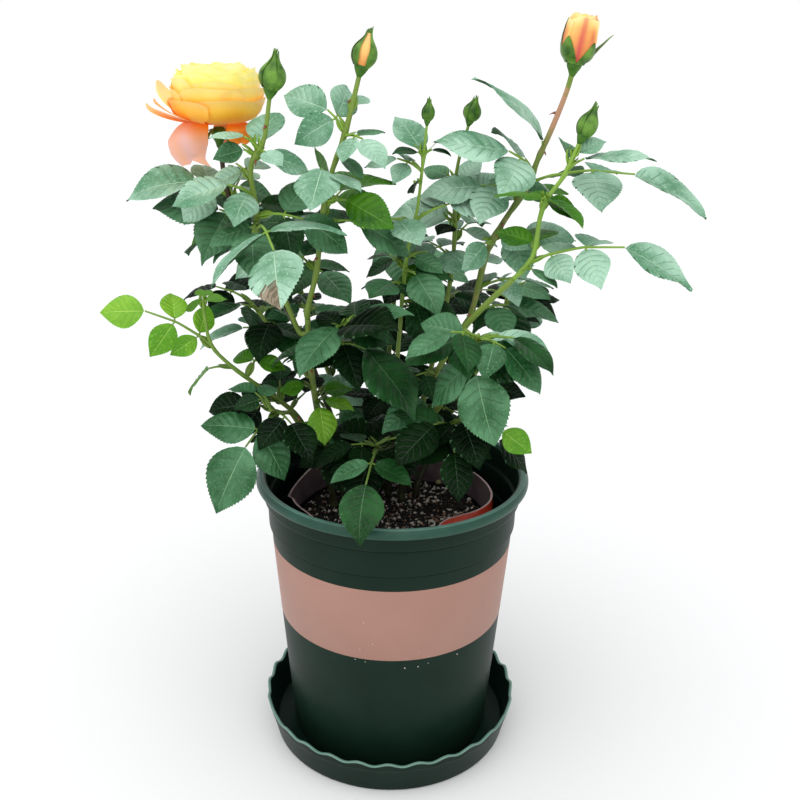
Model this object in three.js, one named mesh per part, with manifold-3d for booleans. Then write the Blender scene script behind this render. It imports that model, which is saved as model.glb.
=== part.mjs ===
// Potted rose bush: saucer, pot, soft inner liner, potting mix, canes and masses of foliage.
// Millimetres, +Z up. The origin is the centre of the saucer's flat underside.
import * as THREE from 'three';
import { mergeVertices } from 'three/addons/utils/BufferGeometryUtils.js';
import Module from 'manifold-3d';

const wasm = await Module();
wasm.setup();

// Gap kept between pieces that rest on each other
const SEAT = 0.3;

// Saucer
const SAUCER_FOOT_RADIUS = 77;
const SAUCER_RIM_RADIUS = 83;
const SAUCER_HEIGHT = 24;
const SAUCER_FLOOR = 2.7;
const SAUCER_WALL = 1.8;
const SCALLOPS = 28;
const SCALLOP_RISE = 1.4;
const SCALLOP_REACH = 0.8;

// Pot
const POT_FOOT = SAUCER_FLOOR + SEAT;
const POT_TOP = 185;
const POT_FOOT_RADIUS = 64.5;
const POT_WALL = 2;
const POT_FLOOR_THICKNESS = 3;
const LIP_RADIUS = 85;
const LIP_INNER_RADIUS = 79;
const LIP_HEIGHT = 6.1;
const COLLAR_RADIUS = 80;
const COLLAR_BOTTOM = 169.5;
const STEP_TOP_RADIUS = 78.4;
const STEP_BOTTOM = 152;
const BODY_TOP_RADIUS = 76.6;
const POT_SEGMENTS = 36;

// Liner, a soft nursery pot pushed out of round, and the mix that fills it
const LINER_FOOT = POT_FOOT + POT_FLOOR_THICKNESS + SEAT;
const LINER_WALL = 1.2;
const LINER_FLOOR = 1.5;
const LINER_RIM = 166;
const LINER_TOP_RADIUS = 64;
const LINER_FOOT_RADIUS = 52;
const LINER_BEND = 90;
const LINER_SEGMENTS = 36;
const MIX_TOP = 150;
const MIX_SIDE_GAP = 1.8;
const MIX_FLAT_RADIUS = 47;

// Canes
const CANE_SIDES = 5;
const STEM_SIDES = 3;
const FOOT_STRAIGHT = 5;
const FLARE_HEIGHT = 10;
const FLARE = 0.4;

// Leaves
const LEAFLET_LENGTH = 34;
const LEAFLET_HALF_WIDTH = 0.31;
const LEAFLET_THICKNESS = 1.1;
const LEAFLET_FOLD = 0.22;
const STALK_RADIUS = 0.85;
const KEEL_DEPTH = 1.4 * STALK_RADIUS;
const LEAFLET_DROOP = 0.06;
const DROOP_SPREAD = 0.1;
const TURN_SPREAD = 8;
const DIP_SPREAD = 8;
const TILT_SPREAD = 14;
const SIZE_SPREAD = 0.06;

// Leaves dealt by rule
const GOLDEN_ANGLE = 137.5;
const LEAF_TRIES = 4;
const RETRY_TURN = 47;
const HEADING_SPREAD = 30;
const RISE_SPREAD = 22;
const LENGTH_SPREAD = 0.18;
const LEAN_SPREAD = 24;
const FIVE_SHARE = 0.7;

// Clearances kept while the masses grow
const BLADE_CLEARANCE = 1.9;
const ROD_CLEARANCE = 1.1;

// Where the photograph was taken from, and how far before and behind the pot's middle the
// openings of the crown run along the line of sight
const CAMERA_PLACE = [4.1, -574.9, 447.4];
const OPENING_ENDS = [-75, 130];

const COLOURS = {
  pot: { color: 0x23403a, roughness: 0.42, metalness: 0 },
  saucer: { color: 0x21443b, roughness: 0.45, metalness: 0 },
  liner: { color: 0x8a3a28, roughness: 0.55, metalness: 0 },
  mix: { color: 0x1d1712, roughness: 0.95, metalness: 0 },
  cane: { color: 0x6f8a34, roughness: 0.6, metalness: 0 },
  foliage: { color: 0x2f6b4c, roughness: 0.55, metalness: 0 },
  young: { color: 0x6fae2c, roughness: 0.5, metalness: 0 },
};

// A cane rises from the mix, through its points, to the place where its foliage begins
const CANES = [
  { name: 'bloom', foot: [-24, 36],
    via: [[-40, 40, 200], [-60, 32, 262], [-82, 14, 315]], thick: 2.1, thin: 1.6 },
  { name: 'bud_centre', foot: [-31, 24],
    via: [[-45, 5, 210], [-50, -3, 255], [-51, -6, 283]], thick: 2.3, thin: 1.7 },
  { name: 'low_left', foot: [-38, 15],
    via: [[-48, 10, 188], [-59, 2, 218], [-78, -10, 240]], thick: 1.9, thin: 1.4 },
  { name: 'bud_right', foot: [-12, 27],
    via: [[0, 7, 195], [28, -14, 233], [38, -23, 280], [66, -29, 314]], thick: 2.2, thin: 1.6 },
  { name: 'open_bud', foot: [6, 26],
    via: [[17, 28, 215], [33, 25, 252], [45, 22, 275]], thick: 2.2, thin: 1.8 },
  { name: 'bud_back', foot: [9, 40],
    via: [[20, 44, 215], [31, 38, 275]], thick: 1.9, thin: 1.5 },
  { name: 'small_bud', foot: [-3, 34],
    via: [[0, 26, 215], [4, 18, 280]], thick: 1.8, thin: 1.3 },
  { name: 'back_left', foot: [-20, 42],
    via: [[-38, 66, 205], [-58, 86, 252]], thick: 2, thin: 1.5 },
  { name: 'back', foot: [-6, 42],
    via: [[-6, 66, 205], [-2, 92, 255]], thick: 2, thin: 1.5 },
  { name: 'back_right', foot: [16, 34],
    via: [[38, 56, 200], [64, 74, 238]], thick: 2, thin: 1.5 },
];

// A bough leaves the side of a cane
const BOUGHS = [
  { name: 'bud_left', cane: 'bud_centre', share: 0.93,
    via: [[-66, -3, 298], [-77, -4, 316]], thick: 1.6, thin: 1.4 },
  { name: 'left', cane: 'bud_centre', share: 0.72,
    via: [[-60, 7, 257], [-66, 12, 262]], thick: 1.4, thin: 1.3 },
  { name: 'centre', cane: 'bud_centre', share: 0.8,
    via: [[-44, -12, 261], [-41, -16, 264]], thick: 1.4, thin: 1.3 },
  { name: 'right_low', cane: 'bud_right', share: 0.62,
    via: [[37, -31, 273], [38, -35, 275]], thick: 1.4, thin: 1.3 },
  { name: 'front_low', cane: 'bud_right', share: 0.22,
    via: [[-7, 2, 194], [-8, -4, 197]], thick: 1.4, thin: 1.3 },
  { name: 'right_inside', cane: 'bud_right', share: 0.4,
    via: [[23, -16, 219], [26, -20, 221]], thick: 1.4, thin: 1.3 },
  { name: 'lower_left', cane: 'low_left', share: 0.62,
    via: [[-62, -8, 224], [-64, -12, 226]], thick: 1.4, thin: 1.3 },
];

// A leaf stands at a share of its stem's length. Heading is in plan, from +X towards +Y,
// and rise is above level, both in degrees. Lean turns the blade to the front, about its
// stalk, and pairs scales the leaflets along the stalk against the one at its end.
function leaf(share, heading, rise, length, leaflets, size = LEAFLET_LENGTH, lean = 12, pairs = 1) {
  return { share, heading, rise, length, leaflets, size, lean, pairs };
}

// A leaf whose leaflets bend over by more than the rule's droop
function bowed(droop, plan) {
  return { ...plan, droop };
}

// A mass of foliage: one stem that carries on from a cane or a bough, its placed leaves,
// and the number of further leaves that the seeded rule deals round the stem
const MASSES = [
  {
    name: 'bloom',
    limb: 'cane_bloom',
    via: [[-93, 10, 340], [-98, 14, 352], [-102, 18, 381]],
    thick: 1.5,
    thin: 1.4,
    head: { kind: 'bloom', width: 68, length: 40 },
    leaves: [
      leaf(0.56, 190, 22, 62, 3, 42, 30, 0.75),
      leaf(0.36, 190, 24, 52, 3, 40, 28),
      leaf(0.5, 100, 50, 30, 1, 22, 50),
      leaf(0.29, 200, -3, 34, 1, 19, 22),
      leaf(0.5, 80, 30, 46, 3, 26),
      leaf(0.15, 150, -5, 58, 5, 27, 20),
    ],
    deal: { count: 3, seed: 11, from: 0.02, to: 0.5, length: 48, rise: 12 },
  },
  {
    name: 'bud_left',
    limb: 'bough_bud_left',
    via: [[-78, -10, 346], [-79, -18, 373], [-72, -20, 384], [-67, -22, 410]],
    thick: 1.4,
    thin: 1.2,
    head: { kind: 'bud', width: 13.6, length: 24 },
    leaves: [
      leaf(0.22, 285, -4, 112, 3, 43, 20, 1.05),
      leaf(0.29, 345, -5, 60, 3, 32, 55),
      leaf(0.69, 184, 38, 30, 1, 19, 22),
      leaf(0.66, 206, 18, 26, 1, 18, 45),
      leaf(0.62, 4, 12, 34, 1, 25, 28),
      leaf(0.68, 300, 2, 26, 1, 16, 20),
      leaf(0.68, 70, 72, 36, 1, 31, -6),
      leaf(0.5, 130, 20, 44, 3, 25),
    ],
    deal: { count: 4, seed: 23, from: 0.02, to: 0.5, length: 48, rise: 10 },
  },
  {
    name: 'bud_centre',
    limb: 'cane_bud_centre',
    via: [[-45, -8, 312], [-42, -8, 338], [-37, -8, 364], [-28, -8, 390], [-20, -8, 421]],
    thick: 1.6,
    thin: 1.3,
    head: { kind: 'bud', width: 13.6, length: 25 },
    leaves: [
      leaf(0.77, 168, 46, 45, 3, 29, 48),
      leaf(0.85, 52, 48, 22, 1, 17, 28),
      leaf(0.76, 315, -6, 37, 3, 22, 22),
      leaf(0.67, 313, 2, 24, 1, 19, 10),
      leaf(0.54, 108, 78, 28, 1, 23, -42),
      leaf(0.51, 6, 30, 40, 1, 32, 9),
      leaf(0.49, 340, 2, 43, 1, 30, 55),
      leaf(0.4, 2, 0, 58, 3, 36, 24, 0.8),
      leaf(0.36, 100, 20, 48, 5, 26),
    ],
    deal: { count: 5, seed: 37, from: 0.02, to: 0.6, length: 52, rise: 12 },
  },
  {
    name: 'low_left',
    limb: 'cane_low_left',
    via: [[-96, -20, 259], [-105, -24, 272], [-108, -26, 295]],
    thick: 1.3,
    thin: 0.9,
    young: true,
    leaves: [
      leaf(0.62, 190, 27, 70, 5, 26, 60),
      leaf(0.98, 285, 60, 24, 3, 15),
      leaf(0.35, 170, -14, 42, 1, 26),
      leaf(0.2, 62, 30, 42, 3, 22),
    ],
    deal: { count: 2, seed: 41, from: 0.1, to: 0.5, length: 40, rise: 20 },
  },
  {
    name: 'bud_right',
    limb: 'cane_bud_right',
    via: [[76, -30, 327], [80, -30, 355], [91, -28, 372], [98, -26, 389]],
    thick: 1.4,
    thin: 1.1,
    head: { kind: 'bud', width: 10, length: 22 },
    leaves: [
      leaf(0.15, 346, 8, 94, 5, 41, 26, 0.78),
      leaf(0.08, 312, 8, 28, 1, 20, 5),
      leaf(0.83, 92, 52, 25, 1, 20, -25),
      leaf(0.87, 5, 45, 22, 1, 17, 26),
      leaf(0.79, 355, 30, 48, 1, 36),
      leaf(0.5, 60, 30, 34, 3, 20),
    ],
    deal: { count: 2, seed: 53, from: 0.1, to: 0.6, length: 40, rise: 14 },
  },
  {
    name: 'open_bud',
    limb: 'cane_open_bud',
    via: [
      [55, 16, 320], [64, 14, 339], [76, 12, 359], [81, 12, 374],
      [87, 10, 390], [94.6, 10, 412], [97.3, 10, 423],
    ],
    thick: 1.7,
    thin: 1.5,
    head: { kind: 'bud', width: 18, length: 30 },
    leaves: [
      leaf(0.59, 339, 3, 108, 5, 47, 8, 0.85),
      bowed(0.3, leaf(0.7, 180, 86, 56, 1, 49, 24)),
      leaf(0.63, 198, 32, 62, 3, 42, 36, 0.9),
      leaf(0.34, 228, -14, 32, 1, 24, 60),
      leaf(0.36, 300, 14, 28, 1, 22, 50),
      leaf(0.5, 70, 30, 44, 3, 27),
      leaf(0.14, 20, 5, 52, 5, 25),
    ],
    deal: { count: 5, seed: 67, from: 0.02, to: 0.62, length: 50, rise: 12 },
  },
  {
    name: 'bud_back',
    limb: 'cane_bud_back',
    via: [[35, 34, 304], [36, 32, 328], [35, 30, 356], [37, 30, 372], [42, 30, 392]],
    thick: 1.4,
    thin: 0.9,
    head: { kind: 'bud', width: 9.5, length: 17 },
    leaves: [
      leaf(0.5, 152, 24, 46, 1, 41, 40),
      leaf(0.5, 24, 60, 44, 1, 35, 60),
      leaf(0.46, 238, 30, 24, 1, 18, 10),
      leaf(0.69, 150, 44, 28, 1, 21, 30),
      leaf(0.66, 32, 58, 29, 1, 23, 14),
      leaf(0.3, 130, 15, 54, 5, 30),
      leaf(0.4, 60, 20, 48, 5, 28),
    ],
    deal: { count: 6, seed: 71, from: 0.02, to: 0.6, length: 52, rise: 10 },
  },
  {
    name: 'small_bud',
    limb: 'cane_small_bud',
    via: [[6, 14, 308], [9, 10, 331], [12, 10, 342], [15, 6, 370], [17, 4, 394]],
    thick: 1.2,
    thin: 0.7,
    head: { kind: 'bud', width: 6.5, length: 15 },
    leaves: [
      leaf(0.83, 131, 66, 34, 1, 29),
      leaf(0.84, 212, 30, 22, 1, 17, 14),
      leaf(0.85, 340, 25, 18, 1, 12, 9),
      leaf(0.77, 178, 21, 36, 3, 20, 22),
      leaf(0.71, 253, 0, 26, 1, 14, -30),
      leaf(0.15, 240, 18, 42, 3, 26),
      leaf(0.25, 120, 10, 44, 3, 24),
    ],
    deal: { count: 6, seed: 83, from: 0.02, to: 0.6, length: 48, rise: 10 },
  },
  {
    name: 'left',
    limb: 'bough_left',
    via: [[-76, 18, 270], [-88, 24, 284]],
    thick: 1.3,
    thin: 0.9,
    leaves: [
      leaf(0.3, 185, 4, 50, 3, 30, 15),
      leaf(0.97, 165, 16, 52, 3, 26),
      leaf(0.8, 225, 24, 40, 3, 26),
    ],
    deal: { count: 4, seed: 97, from: 0.1, to: 0.97, length: 48, rise: 10 },
  },
  {
    name: 'centre',
    limb: 'bough_centre',
    via: [[-34, -26, 274], [-28, -36, 288]],
    thick: 1.3,
    thin: 0.9,
    leaves: [
      leaf(0.5, 334, -10, 68, 1, 48, 6),
      leaf(0.86, 305, 40, 49, 1, 44, 16),
      leaf(0.97, 232, 4, 41, 1, 35, 0),
      leaf(0.93, 20, 24, 46, 3, 30),
    ],
    deal: { count: 4, seed: 101, from: 0.2, to: 0.97, length: 42, rise: 4 },
  },
  {
    name: 'right_low',
    limb: 'bough_right_low',
    via: [[43, -46, 280], [46, -56, 290]],
    thick: 1.3,
    thin: 0.9,
    leaves: [
      leaf(0.45, 277, -34, 62, 3, 41, 30),
      leaf(0.85, 330, -14, 50, 3, 32, 5, 0.8),
      leaf(0.62, 173, 36, 34, 1, 26, 50),
      leaf(0.7, 350, 12, 44, 1, 30),
      leaf(0.9, 205, 10, 48, 3, 31),
      leaf(0.66, 324, 8, 54, 1, 28),
    ],
    deal: { count: 2, seed: 113, from: 0.3, to: 0.97, length: 44, rise: 0 },
  },
  {
    name: 'front_low',
    limb: 'bough_front_low',
    via: [[-8, -18, 205], [-9, -30, 214]],
    thick: 1.3,
    thin: 0.9,
    leaves: [
      leaf(0.63, 264, -3, 90, 3, 34, 4, 0.85),
      leaf(0.8, 200, 6, 42, 5, 25),
      leaf(0.97, 350, 14, 46, 3, 27),
    ],
    deal: { count: 4, seed: 127, from: 0.2, to: 0.97, length: 44, rise: 12 },
  },
  {
    name: 'right_inside',
    limb: 'bough_right_inside',
    via: [[33, -32, 227], [40, -40, 236]],
    thick: 1.3,
    thin: 0.9,
    leaves: [
      leaf(0.3, 282, -18, 56, 3, 30, 6),
      leaf(0.7, 346, -22, 56, 3, 28),
      leaf(0.97, 327, -10, 47, 3, 20, 35, 0.8),
    ],
    deal: { count: 4, seed: 131, from: 0.2, to: 0.97, length: 46, rise: 4 },
  },
  {
    name: 'lower_left',
    limb: 'bough_lower_left',
    via: [[-67, -22, 230], [-71, -34, 236]],
    thick: 1.3,
    thin: 0.9,
    leaves: [
      leaf(0.5, 240, -24, 73, 3, 39, 40),
      leaf(0.7, 176, 8, 42, 3, 25, 40),
      leaf(0.97, 150, 34, 34, 3, 20),
    ],
    deal: { count: 2, seed: 149, from: 0.2, to: 0.97, length: 44, rise: 5 },
  },
  {
    name: 'back_left',
    limb: 'cane_back_left',
    via: [[-66, 94, 282], [-70, 98, 312]],
    thick: 1.4,
    thin: 0.9,
    leaves: [
      leaf(0.97, 110, 40, 44, 5, 26),
    ],
    deal: { count: 8, seed: 157, from: 0.02, to: 0.95, length: 56, rise: 8 },
  },
  {
    name: 'back',
    limb: 'cane_back',
    via: [[0, 102, 285], [2, 106, 308]],
    thick: 1.4,
    thin: 0.9,
    leaves: [
      leaf(0.97, 70, 30, 40, 5, 26),
    ],
    deal: { count: 8, seed: 163, from: 0.02, to: 0.95, length: 56, rise: 2 },
  },
  {
    name: 'back_right',
    limb: 'cane_back_right',
    via: [[72, 80, 258], [76, 84, 278]],
    thick: 1.4,
    thin: 0.9,
    leaves: [
      leaf(0.97, 30, 20, 42, 5, 26),
    ],
    deal: { count: 9, seed: 173, from: 0.02, to: 0.95, length: 54, rise: 0 },
  },
];

// Openings that dealt leaves keep clear of: x, height and radius. Through most the photograph
// shows the wall behind, and through the last one the young leaves of a low shoot.
const OPENINGS = [
  [25, 329, 6], [-20, 318, 6.5], [-17, 303, 8], [90, 314, 5], [103, 303, 9],
  [80, 252, 6], [-111, 247, 7], [-125, 247, 8], [-91, 369, 4], [-69, 366, 4],
  [-111, 321, 4.5], [73, 344, 4.5], [115, 346, 5.5], [-11, 241, 4], [-44, 223, 8],
];

// Small vector helpers

function vector(x, y, z) {
  return new THREE.Vector3(x, y, z);
}

function radians(degrees) {
  return THREE.MathUtils.degToRad(degrees);
}

function offset(point, direction, distance) {
  return point.clone().addScaledVector(direction, distance);
}

function direction(heading, rise) {
  const turn = radians(heading);
  const level = Math.cos(radians(rise));
  return vector(level * Math.cos(turn), level * Math.sin(turn), Math.sin(radians(rise)));
}

// Seeded random numbers between 0 and 1
function seeded(seed) {
  let state = seed >>> 0;
  return () => {
    state = (state + 0x6d2b79f5) >>> 0;
    let mixed = state;
    mixed = Math.imul(mixed ^ (mixed >>> 15), mixed | 1);
    mixed ^= mixed + Math.imul(mixed ^ (mixed >>> 7), mixed | 61);
    return ((mixed ^ (mixed >>> 14)) >>> 0) / 4294967296;
  };
}

// A random number spread evenly about zero
function spread(random, amount) {
  return (random() * 2 - 1) * amount;
}

// Limbs

// A smooth run of points through the given ones
function smoothRun(points, steps) {
  const curve = new THREE.CatmullRomCurve3(points, false, 'centripetal');
  return curve.getPoints(steps * (points.length - 1));
}

function runLength(run) {
  let total = 0;
  for (let i = 1; i < run.length; i += 1) total += run[i].distanceTo(run[i - 1]);
  return total;
}

// The point and the direction at a share of a run's length
function placeOnRun(run, share) {
  let left = share * runLength(run);
  for (let i = 1; i < run.length; i += 1) {
    const step = run[i].distanceTo(run[i - 1]);
    if (left <= step || i === run.length - 1) {
      const along = run[i].clone().sub(run[i - 1]).normalize();
      return { point: offset(run[i - 1], along, Math.min(left, step)), along };
    }
    left -= step;
  }
  return null;
}

// A closed tube along a run of centres, with a radius at each
function tube(centres, radii, sides) {
  const points = [];
  const faces = [];
  const last = centres.length - 1;
  let across = null;
  centres.forEach((centre, i) => {
    const ahead = centres[Math.min(i + 1, last)];
    const behind = centres[Math.max(i - 1, 0)];
    const along = ahead.clone().sub(behind).normalize();
    if (!across) across = Math.abs(along.z) > 0.9 ? vector(1, 0, 0) : vector(0, 0, 1);
    across = across.clone().addScaledVector(along, -across.dot(along)).normalize();
    const over = along.clone().cross(across);
    for (let k = 0; k < sides; k += 1) {
      const angle = (2 * Math.PI * k) / sides;
      const out = across.clone().multiplyScalar(Math.cos(angle)).addScaledVector(over, Math.sin(angle));
      points.push(offset(centre, out, radii[i]));
    }
  });
  for (let i = 0; i < last; i += 1) {
    for (let k = 0; k < sides; k += 1) {
      const next = (k + 1) % sides;
      const [low, high] = [i * sides, (i + 1) * sides];
      faces.push([low + k, low + next, high + next], [low + k, high + next, high + k]);
    }
  }
  for (let k = 1; k < sides - 1; k += 1) {
    faces.push([0, k + 1, k], [last * sides, last * sides + k, last * sides + k + 1]);
  }
  return { points, faces };
}

// Radii that run from thick to thin, with a flare at the foot of a cane
function taper(run, thick, thin, flare = 0) {
  const total = runLength(run);
  let passed = 0;
  return run.map((point, i) => {
    if (i > 0) passed += point.distanceTo(run[i - 1]);
    const plain = thick + (thin - thick) * (passed / total);
    return plain * (1 + flare * Math.max(0, 1 - passed / FLARE_HEIGHT) ** 2);
  });
}

// Where a limb starts: just clear of the tip or of the side of the one that carries it
function startClear(carrier, share, towards) {
  if (share === undefined) {
    const { point, along } = placeOnRun(carrier.run, 1);
    return [offset(point, along, SEAT), offset(point, along, SEAT + 4)];
  }
  const { point, along } = placeOnRun(carrier.run, share);
  const out = towards.clone().sub(point);
  out.addScaledVector(along, -out.dot(along)).normalize();
  const radius = carrier.thick + (carrier.thin - carrier.thick) * share;
  return [offset(point, out, radius + SEAT), offset(point, out, radius + SEAT + 3)];
}

// Room taken by what has grown, so that each mass keeps to its own space

const taken = [];

function boundedItem(item, points) {
  const box = new THREE.Box3().setFromPoints(points);
  const ball = box.getBoundingSphere(new THREE.Sphere());
  return { ...item, centre: ball.center, reach: ball.radius + (item.radius ?? 0) };
}

function rodItem(owner, a, b, radius) {
  return boundedItem({ owner, edges: [[a, b]], faces: [], radius }, [a, b]);
}

function runItems(owner, run, radii) {
  const items = [];
  for (let i = 1; i < run.length; i += 1) items.push(rodItem(owner, run[i - 1], run[i], radii[i - 1]));
  return items;
}

// Openings, each a rod along the line of sight
const openings = OPENINGS.map(([x, height, radius]) => {
  const camera = vector(...CAMERA_PLACE);
  const middle = vector(x, 0, height);
  const sight = middle.clone().sub(camera).normalize();
  const [near, far] = OPENING_ENDS.map((away) => offset(middle, sight, away));
  return rodItem('opening', near, far, radius);
});

// The shortest distance between two edges
function edgeGap([a, b], [c, d]) {
  const u = b.clone().sub(a);
  const v = d.clone().sub(c);
  const w = a.clone().sub(c);
  const uu = u.dot(u);
  const uv = u.dot(v);
  const vv = v.dot(v);
  const uw = u.dot(w);
  const vw = v.dot(w);
  const spreadOut = uu * vv - uv * uv;
  let s = spreadOut > 1e-9 ? THREE.MathUtils.clamp((uv * vw - vv * uw) / spreadOut, 0, 1) : 0;
  const t = THREE.MathUtils.clamp((uv * s + vw) / vv, 0, 1);
  s = THREE.MathUtils.clamp((uv * t - uw) / uu, 0, 1);
  return offset(a, u, s).distanceTo(offset(c, v, t));
}

// Whether an edge, drawn out a little at both ends, passes through a face
function edgePierces([a, b], [p, q, r]) {
  const along = b.clone().sub(a).normalize();
  const start = offset(a, along, -1);
  const span = b.clone().sub(a).length() + 2;
  const first = q.clone().sub(p);
  const second = r.clone().sub(p);
  const side = along.clone().cross(second);
  const scale = first.dot(side);
  if (Math.abs(scale) < 1e-9) return false;
  const from = start.clone().sub(p);
  const u = from.dot(side) / scale;
  const turned = from.clone().cross(first);
  const v = along.dot(turned) / scale;
  const distance = second.dot(turned) / scale;
  return u >= 0 && v >= 0 && u + v <= 1 && distance >= 0 && distance <= span;
}

function passThrough(one, other) {
  return one.edges.some((edge) => other.faces.some((face) => edgePierces(edge, face)))
    || other.edges.some((edge) => one.faces.some((face) => edgePierces(edge, face)));
}

function touches(one, other) {
  const rods = one.radius + other.radius;
  const clearance = rods > 0 ? rods + ROD_CLEARANCE : BLADE_CLEARANCE;
  if (one.centre.distanceTo(other.centre) > one.reach + other.reach + clearance) return false;
  if (one.owner === other.owner) return passThrough(one, other);
  return one.edges.some((edge) => other.edges.some((second) => edgeGap(edge, second) < clearance))
    || passThrough(one, other);
}

function isClear(item, own) {
  return !taken.some((other) => touches(item, other)) && !own.some((other) => touches(item, other));
}

// Leaves

// A leaflet's edge from one side of its root, round its tip, to the other side: how far
// along the leaflet, and how far out as a share of its half width
const EDGE = [[0.3, 0.95], [0.66, 0.86], [1, 0], [0.66, -0.86], [0.3, -0.95]];

// The points of a leaflet: its edge, and one above and one below its middle
function leafletPoints(base, along, across, length, droop) {
  const up = across.clone().cross(along).normalize();
  const halfWidth = length * LEAFLET_HALF_WIDTH;
  const place = (far, side, lift) => {
    const level = offset(offset(base, along, far * length), across, side * halfWidth);
    return offset(level, up, lift - droop * far ** 2 * length);
  };
  const edge = EDGE.map(([far, side]) => place(far, side, LEAFLET_FOLD * halfWidth * Math.abs(side)));
  const half = LEAFLET_THICKNESS / 2;
  return { edge, above: place(0.48, 0, half), below: place(0.48, 0, -half) };
}

// What a leaflet takes up, for the tests of free room
function leafletItem(owner, base, { edge, above, below }) {
  const middle = above.clone().add(below).multiplyScalar(0.5);
  const round = [base, ...edge];
  const edges = [];
  const faces = [];
  round.forEach((point, k) => {
    const next = round[(k + 1) % round.length];
    edges.push([point, next], [point, middle]);
    faces.push([middle, point, next]);
  });
  return boundedItem({ owner, edges, faces, radius: 0 }, round);
}

// Where the rings of a leaf's stalk stand, as shares of its length. A pair of leaflets
// hangs between the two rings of each pair of numbers.
const STALK_RINGS = {
  1: [0, 0.5, 1],
  3: [0, 0.3, 0.56, 0.62, 1],
  5: [0, 0.22, 0.27, 0.58, 0.63, 1],
};
const PAIR_STARTS = { 1: [], 3: [2], 5: [1, 3] };
const PAIR_SIZES = [0.86, 0.74];
const PAIR_TURN = 72;
const PAIR_DIP = 13;
const STALK_SAG = 34;

// A leaf in one closed body: a three-sided stalk that droops, with its leaflets woven on
function grownLeaf(owner, base, plan, random) {
  const shares = STALK_RINGS[plan.leaflets];
  const stalkLength = Math.max(plan.length - plan.size, 5);
  const ways = shares.map((share) => direction(plan.heading, plan.rise + STALK_SAG * (0.5 - share)));
  const centres = [base];
  for (let i = 1; i < shares.length; i += 1) {
    centres.push(offset(centres[i - 1], ways[i - 1], (shares[i] - shares[i - 1]) * stalkLength));
  }
  const stalk = runItems(owner, centres, centres.map(() => STALK_RADIUS));
  if (!stalk.every((item) => isClear(item, []))) return null;

  const lean = plan.lean * Math.sign(Math.cos(radians(plan.heading)));
  const level = direction(plan.heading - 90, 0);
  const across = ways.map((way) => level.clone().applyAxisAngle(way, radians(lean)));
  const above = ways.map((way, i) => across[i].clone().cross(way));
  const own = [];
  const leafletAt = (ring, turn, share, dip) => {
    const centre = centres[ring].clone().lerp(centres[Math.min(ring + 1, centres.length - 1)], 0.5);
    const heading = radians(turn + spread(random, TURN_SPREAD));
    const out = ways[ring].clone().applyAxisAngle(above[ring], heading);
    const width = out.clone().cross(above[ring]);
    out.applyAxisAngle(width, -radians(dip + spread(random, DIP_SPREAD)));
    width.applyAxisAngle(out, radians(spread(random, TILT_SPREAD)));
    const size = plan.size * share * (1 + spread(random, SIZE_SPREAD));
    const droop = (plan.droop ?? LEAFLET_DROOP) + DROOP_SPREAD * random();
    const leaflet = leafletPoints(centre, out, width, size, droop);
    const item = leafletItem(owner, offset(centre, out, 2), leaflet);
    if (plan.dealt && openings.some((opening) => touches(item, opening))) return null;
    if (!isClear(item, own)) return null;
    own.push(item);
    return leaflet;
  };
  const last = shares.length - 1;
  const end = leafletAt(last, 0, 1, 8);
  const pairs = PAIR_STARTS[plan.leaflets].slice().reverse().map((ring, order) => ({
    ring,
    right: leafletAt(ring, -PAIR_TURN, plan.pairs * PAIR_SIZES[order], PAIR_DIP),
    left: leafletAt(ring, PAIR_TURN, plan.pairs * PAIR_SIZES[order], PAIR_DIP),
  }));
  const kept = [end, ...pairs.flatMap(({ right, left }) => [right, left])].filter(Boolean).length;
  if (kept * 2 <= plan.leaflets) return null;

  // Three points to a ring: right, left and keel
  const points = centres.flatMap((centre, i) => [
    offset(centre, across[i], STALK_RADIUS), offset(centre, across[i], -STALK_RADIUS),
    offset(centre, above[i], -KEEL_DEPTH),
  ]);
  const faces = [[0, 1, 2]];
  const quad = (a, b, c, d) => faces.push([a, b, c], [a, c, d]);
  const weave = ({ edge, above: top, below: bottom }, topRound, bottomRound) => {
    const first = points.length;
    points.push(...edge, top, bottom);
    const rim = edge.map((point, k) => first + k);
    const [up, down] = [first + edge.length, first + edge.length + 1];
    const topLoop = [...topRound, ...rim];
    const bottomLoop = [...bottomRound, ...rim];
    topLoop.forEach((point, k) => faces.push([up, point, topLoop[(k + 1) % topLoop.length]]));
    bottomLoop.forEach((point, k) => faces.push([down, bottomLoop[(k + 1) % bottomLoop.length], point]));
    return { first: rim[0], last: rim[rim.length - 1] };
  };
  for (let i = 0; i < last; i += 1) {
    const [right, left, keel] = [3 * i, 3 * i + 1, 3 * i + 2];
    const [nextRight, nextLeft, nextKeel] = [right + 3, left + 3, keel + 3];
    const pair = pairs.find(({ ring }) => ring === i);
    quad(right, nextRight, nextLeft, left);
    if (pair?.right) {
      const rim = weave(pair.right, [nextRight, right], [nextKeel, keel]);
      faces.push([rim.first, right, keel], [nextRight, rim.last, nextKeel]);
    } else {
      quad(keel, nextKeel, nextRight, right);
    }
    if (pair?.left) {
      const rim = weave(pair.left, [left, nextLeft], [keel, nextKeel]);
      faces.push([rim.first, nextLeft, nextKeel], [left, rim.last, keel]);
    } else {
      quad(left, nextLeft, nextKeel, keel);
    }
  }
  const [right, left, keel] = [3 * last, 3 * last + 1, 3 * last + 2];
  if (end) weave(end, [left, right], [left, keel, right]);
  else faces.push([right, keel, left]);
  return { solids: [{ points, faces }], items: [...stalk, ...own] };
}

// Flowers and buds

// A closed body turned about a direction, with a radius at each height
function spindle(base, along, rings, sides) {
  const centres = rings.map(([height]) => offset(base, along, height));
  return tube(centres, rings.map(([, radius]) => radius), sides);
}

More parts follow.
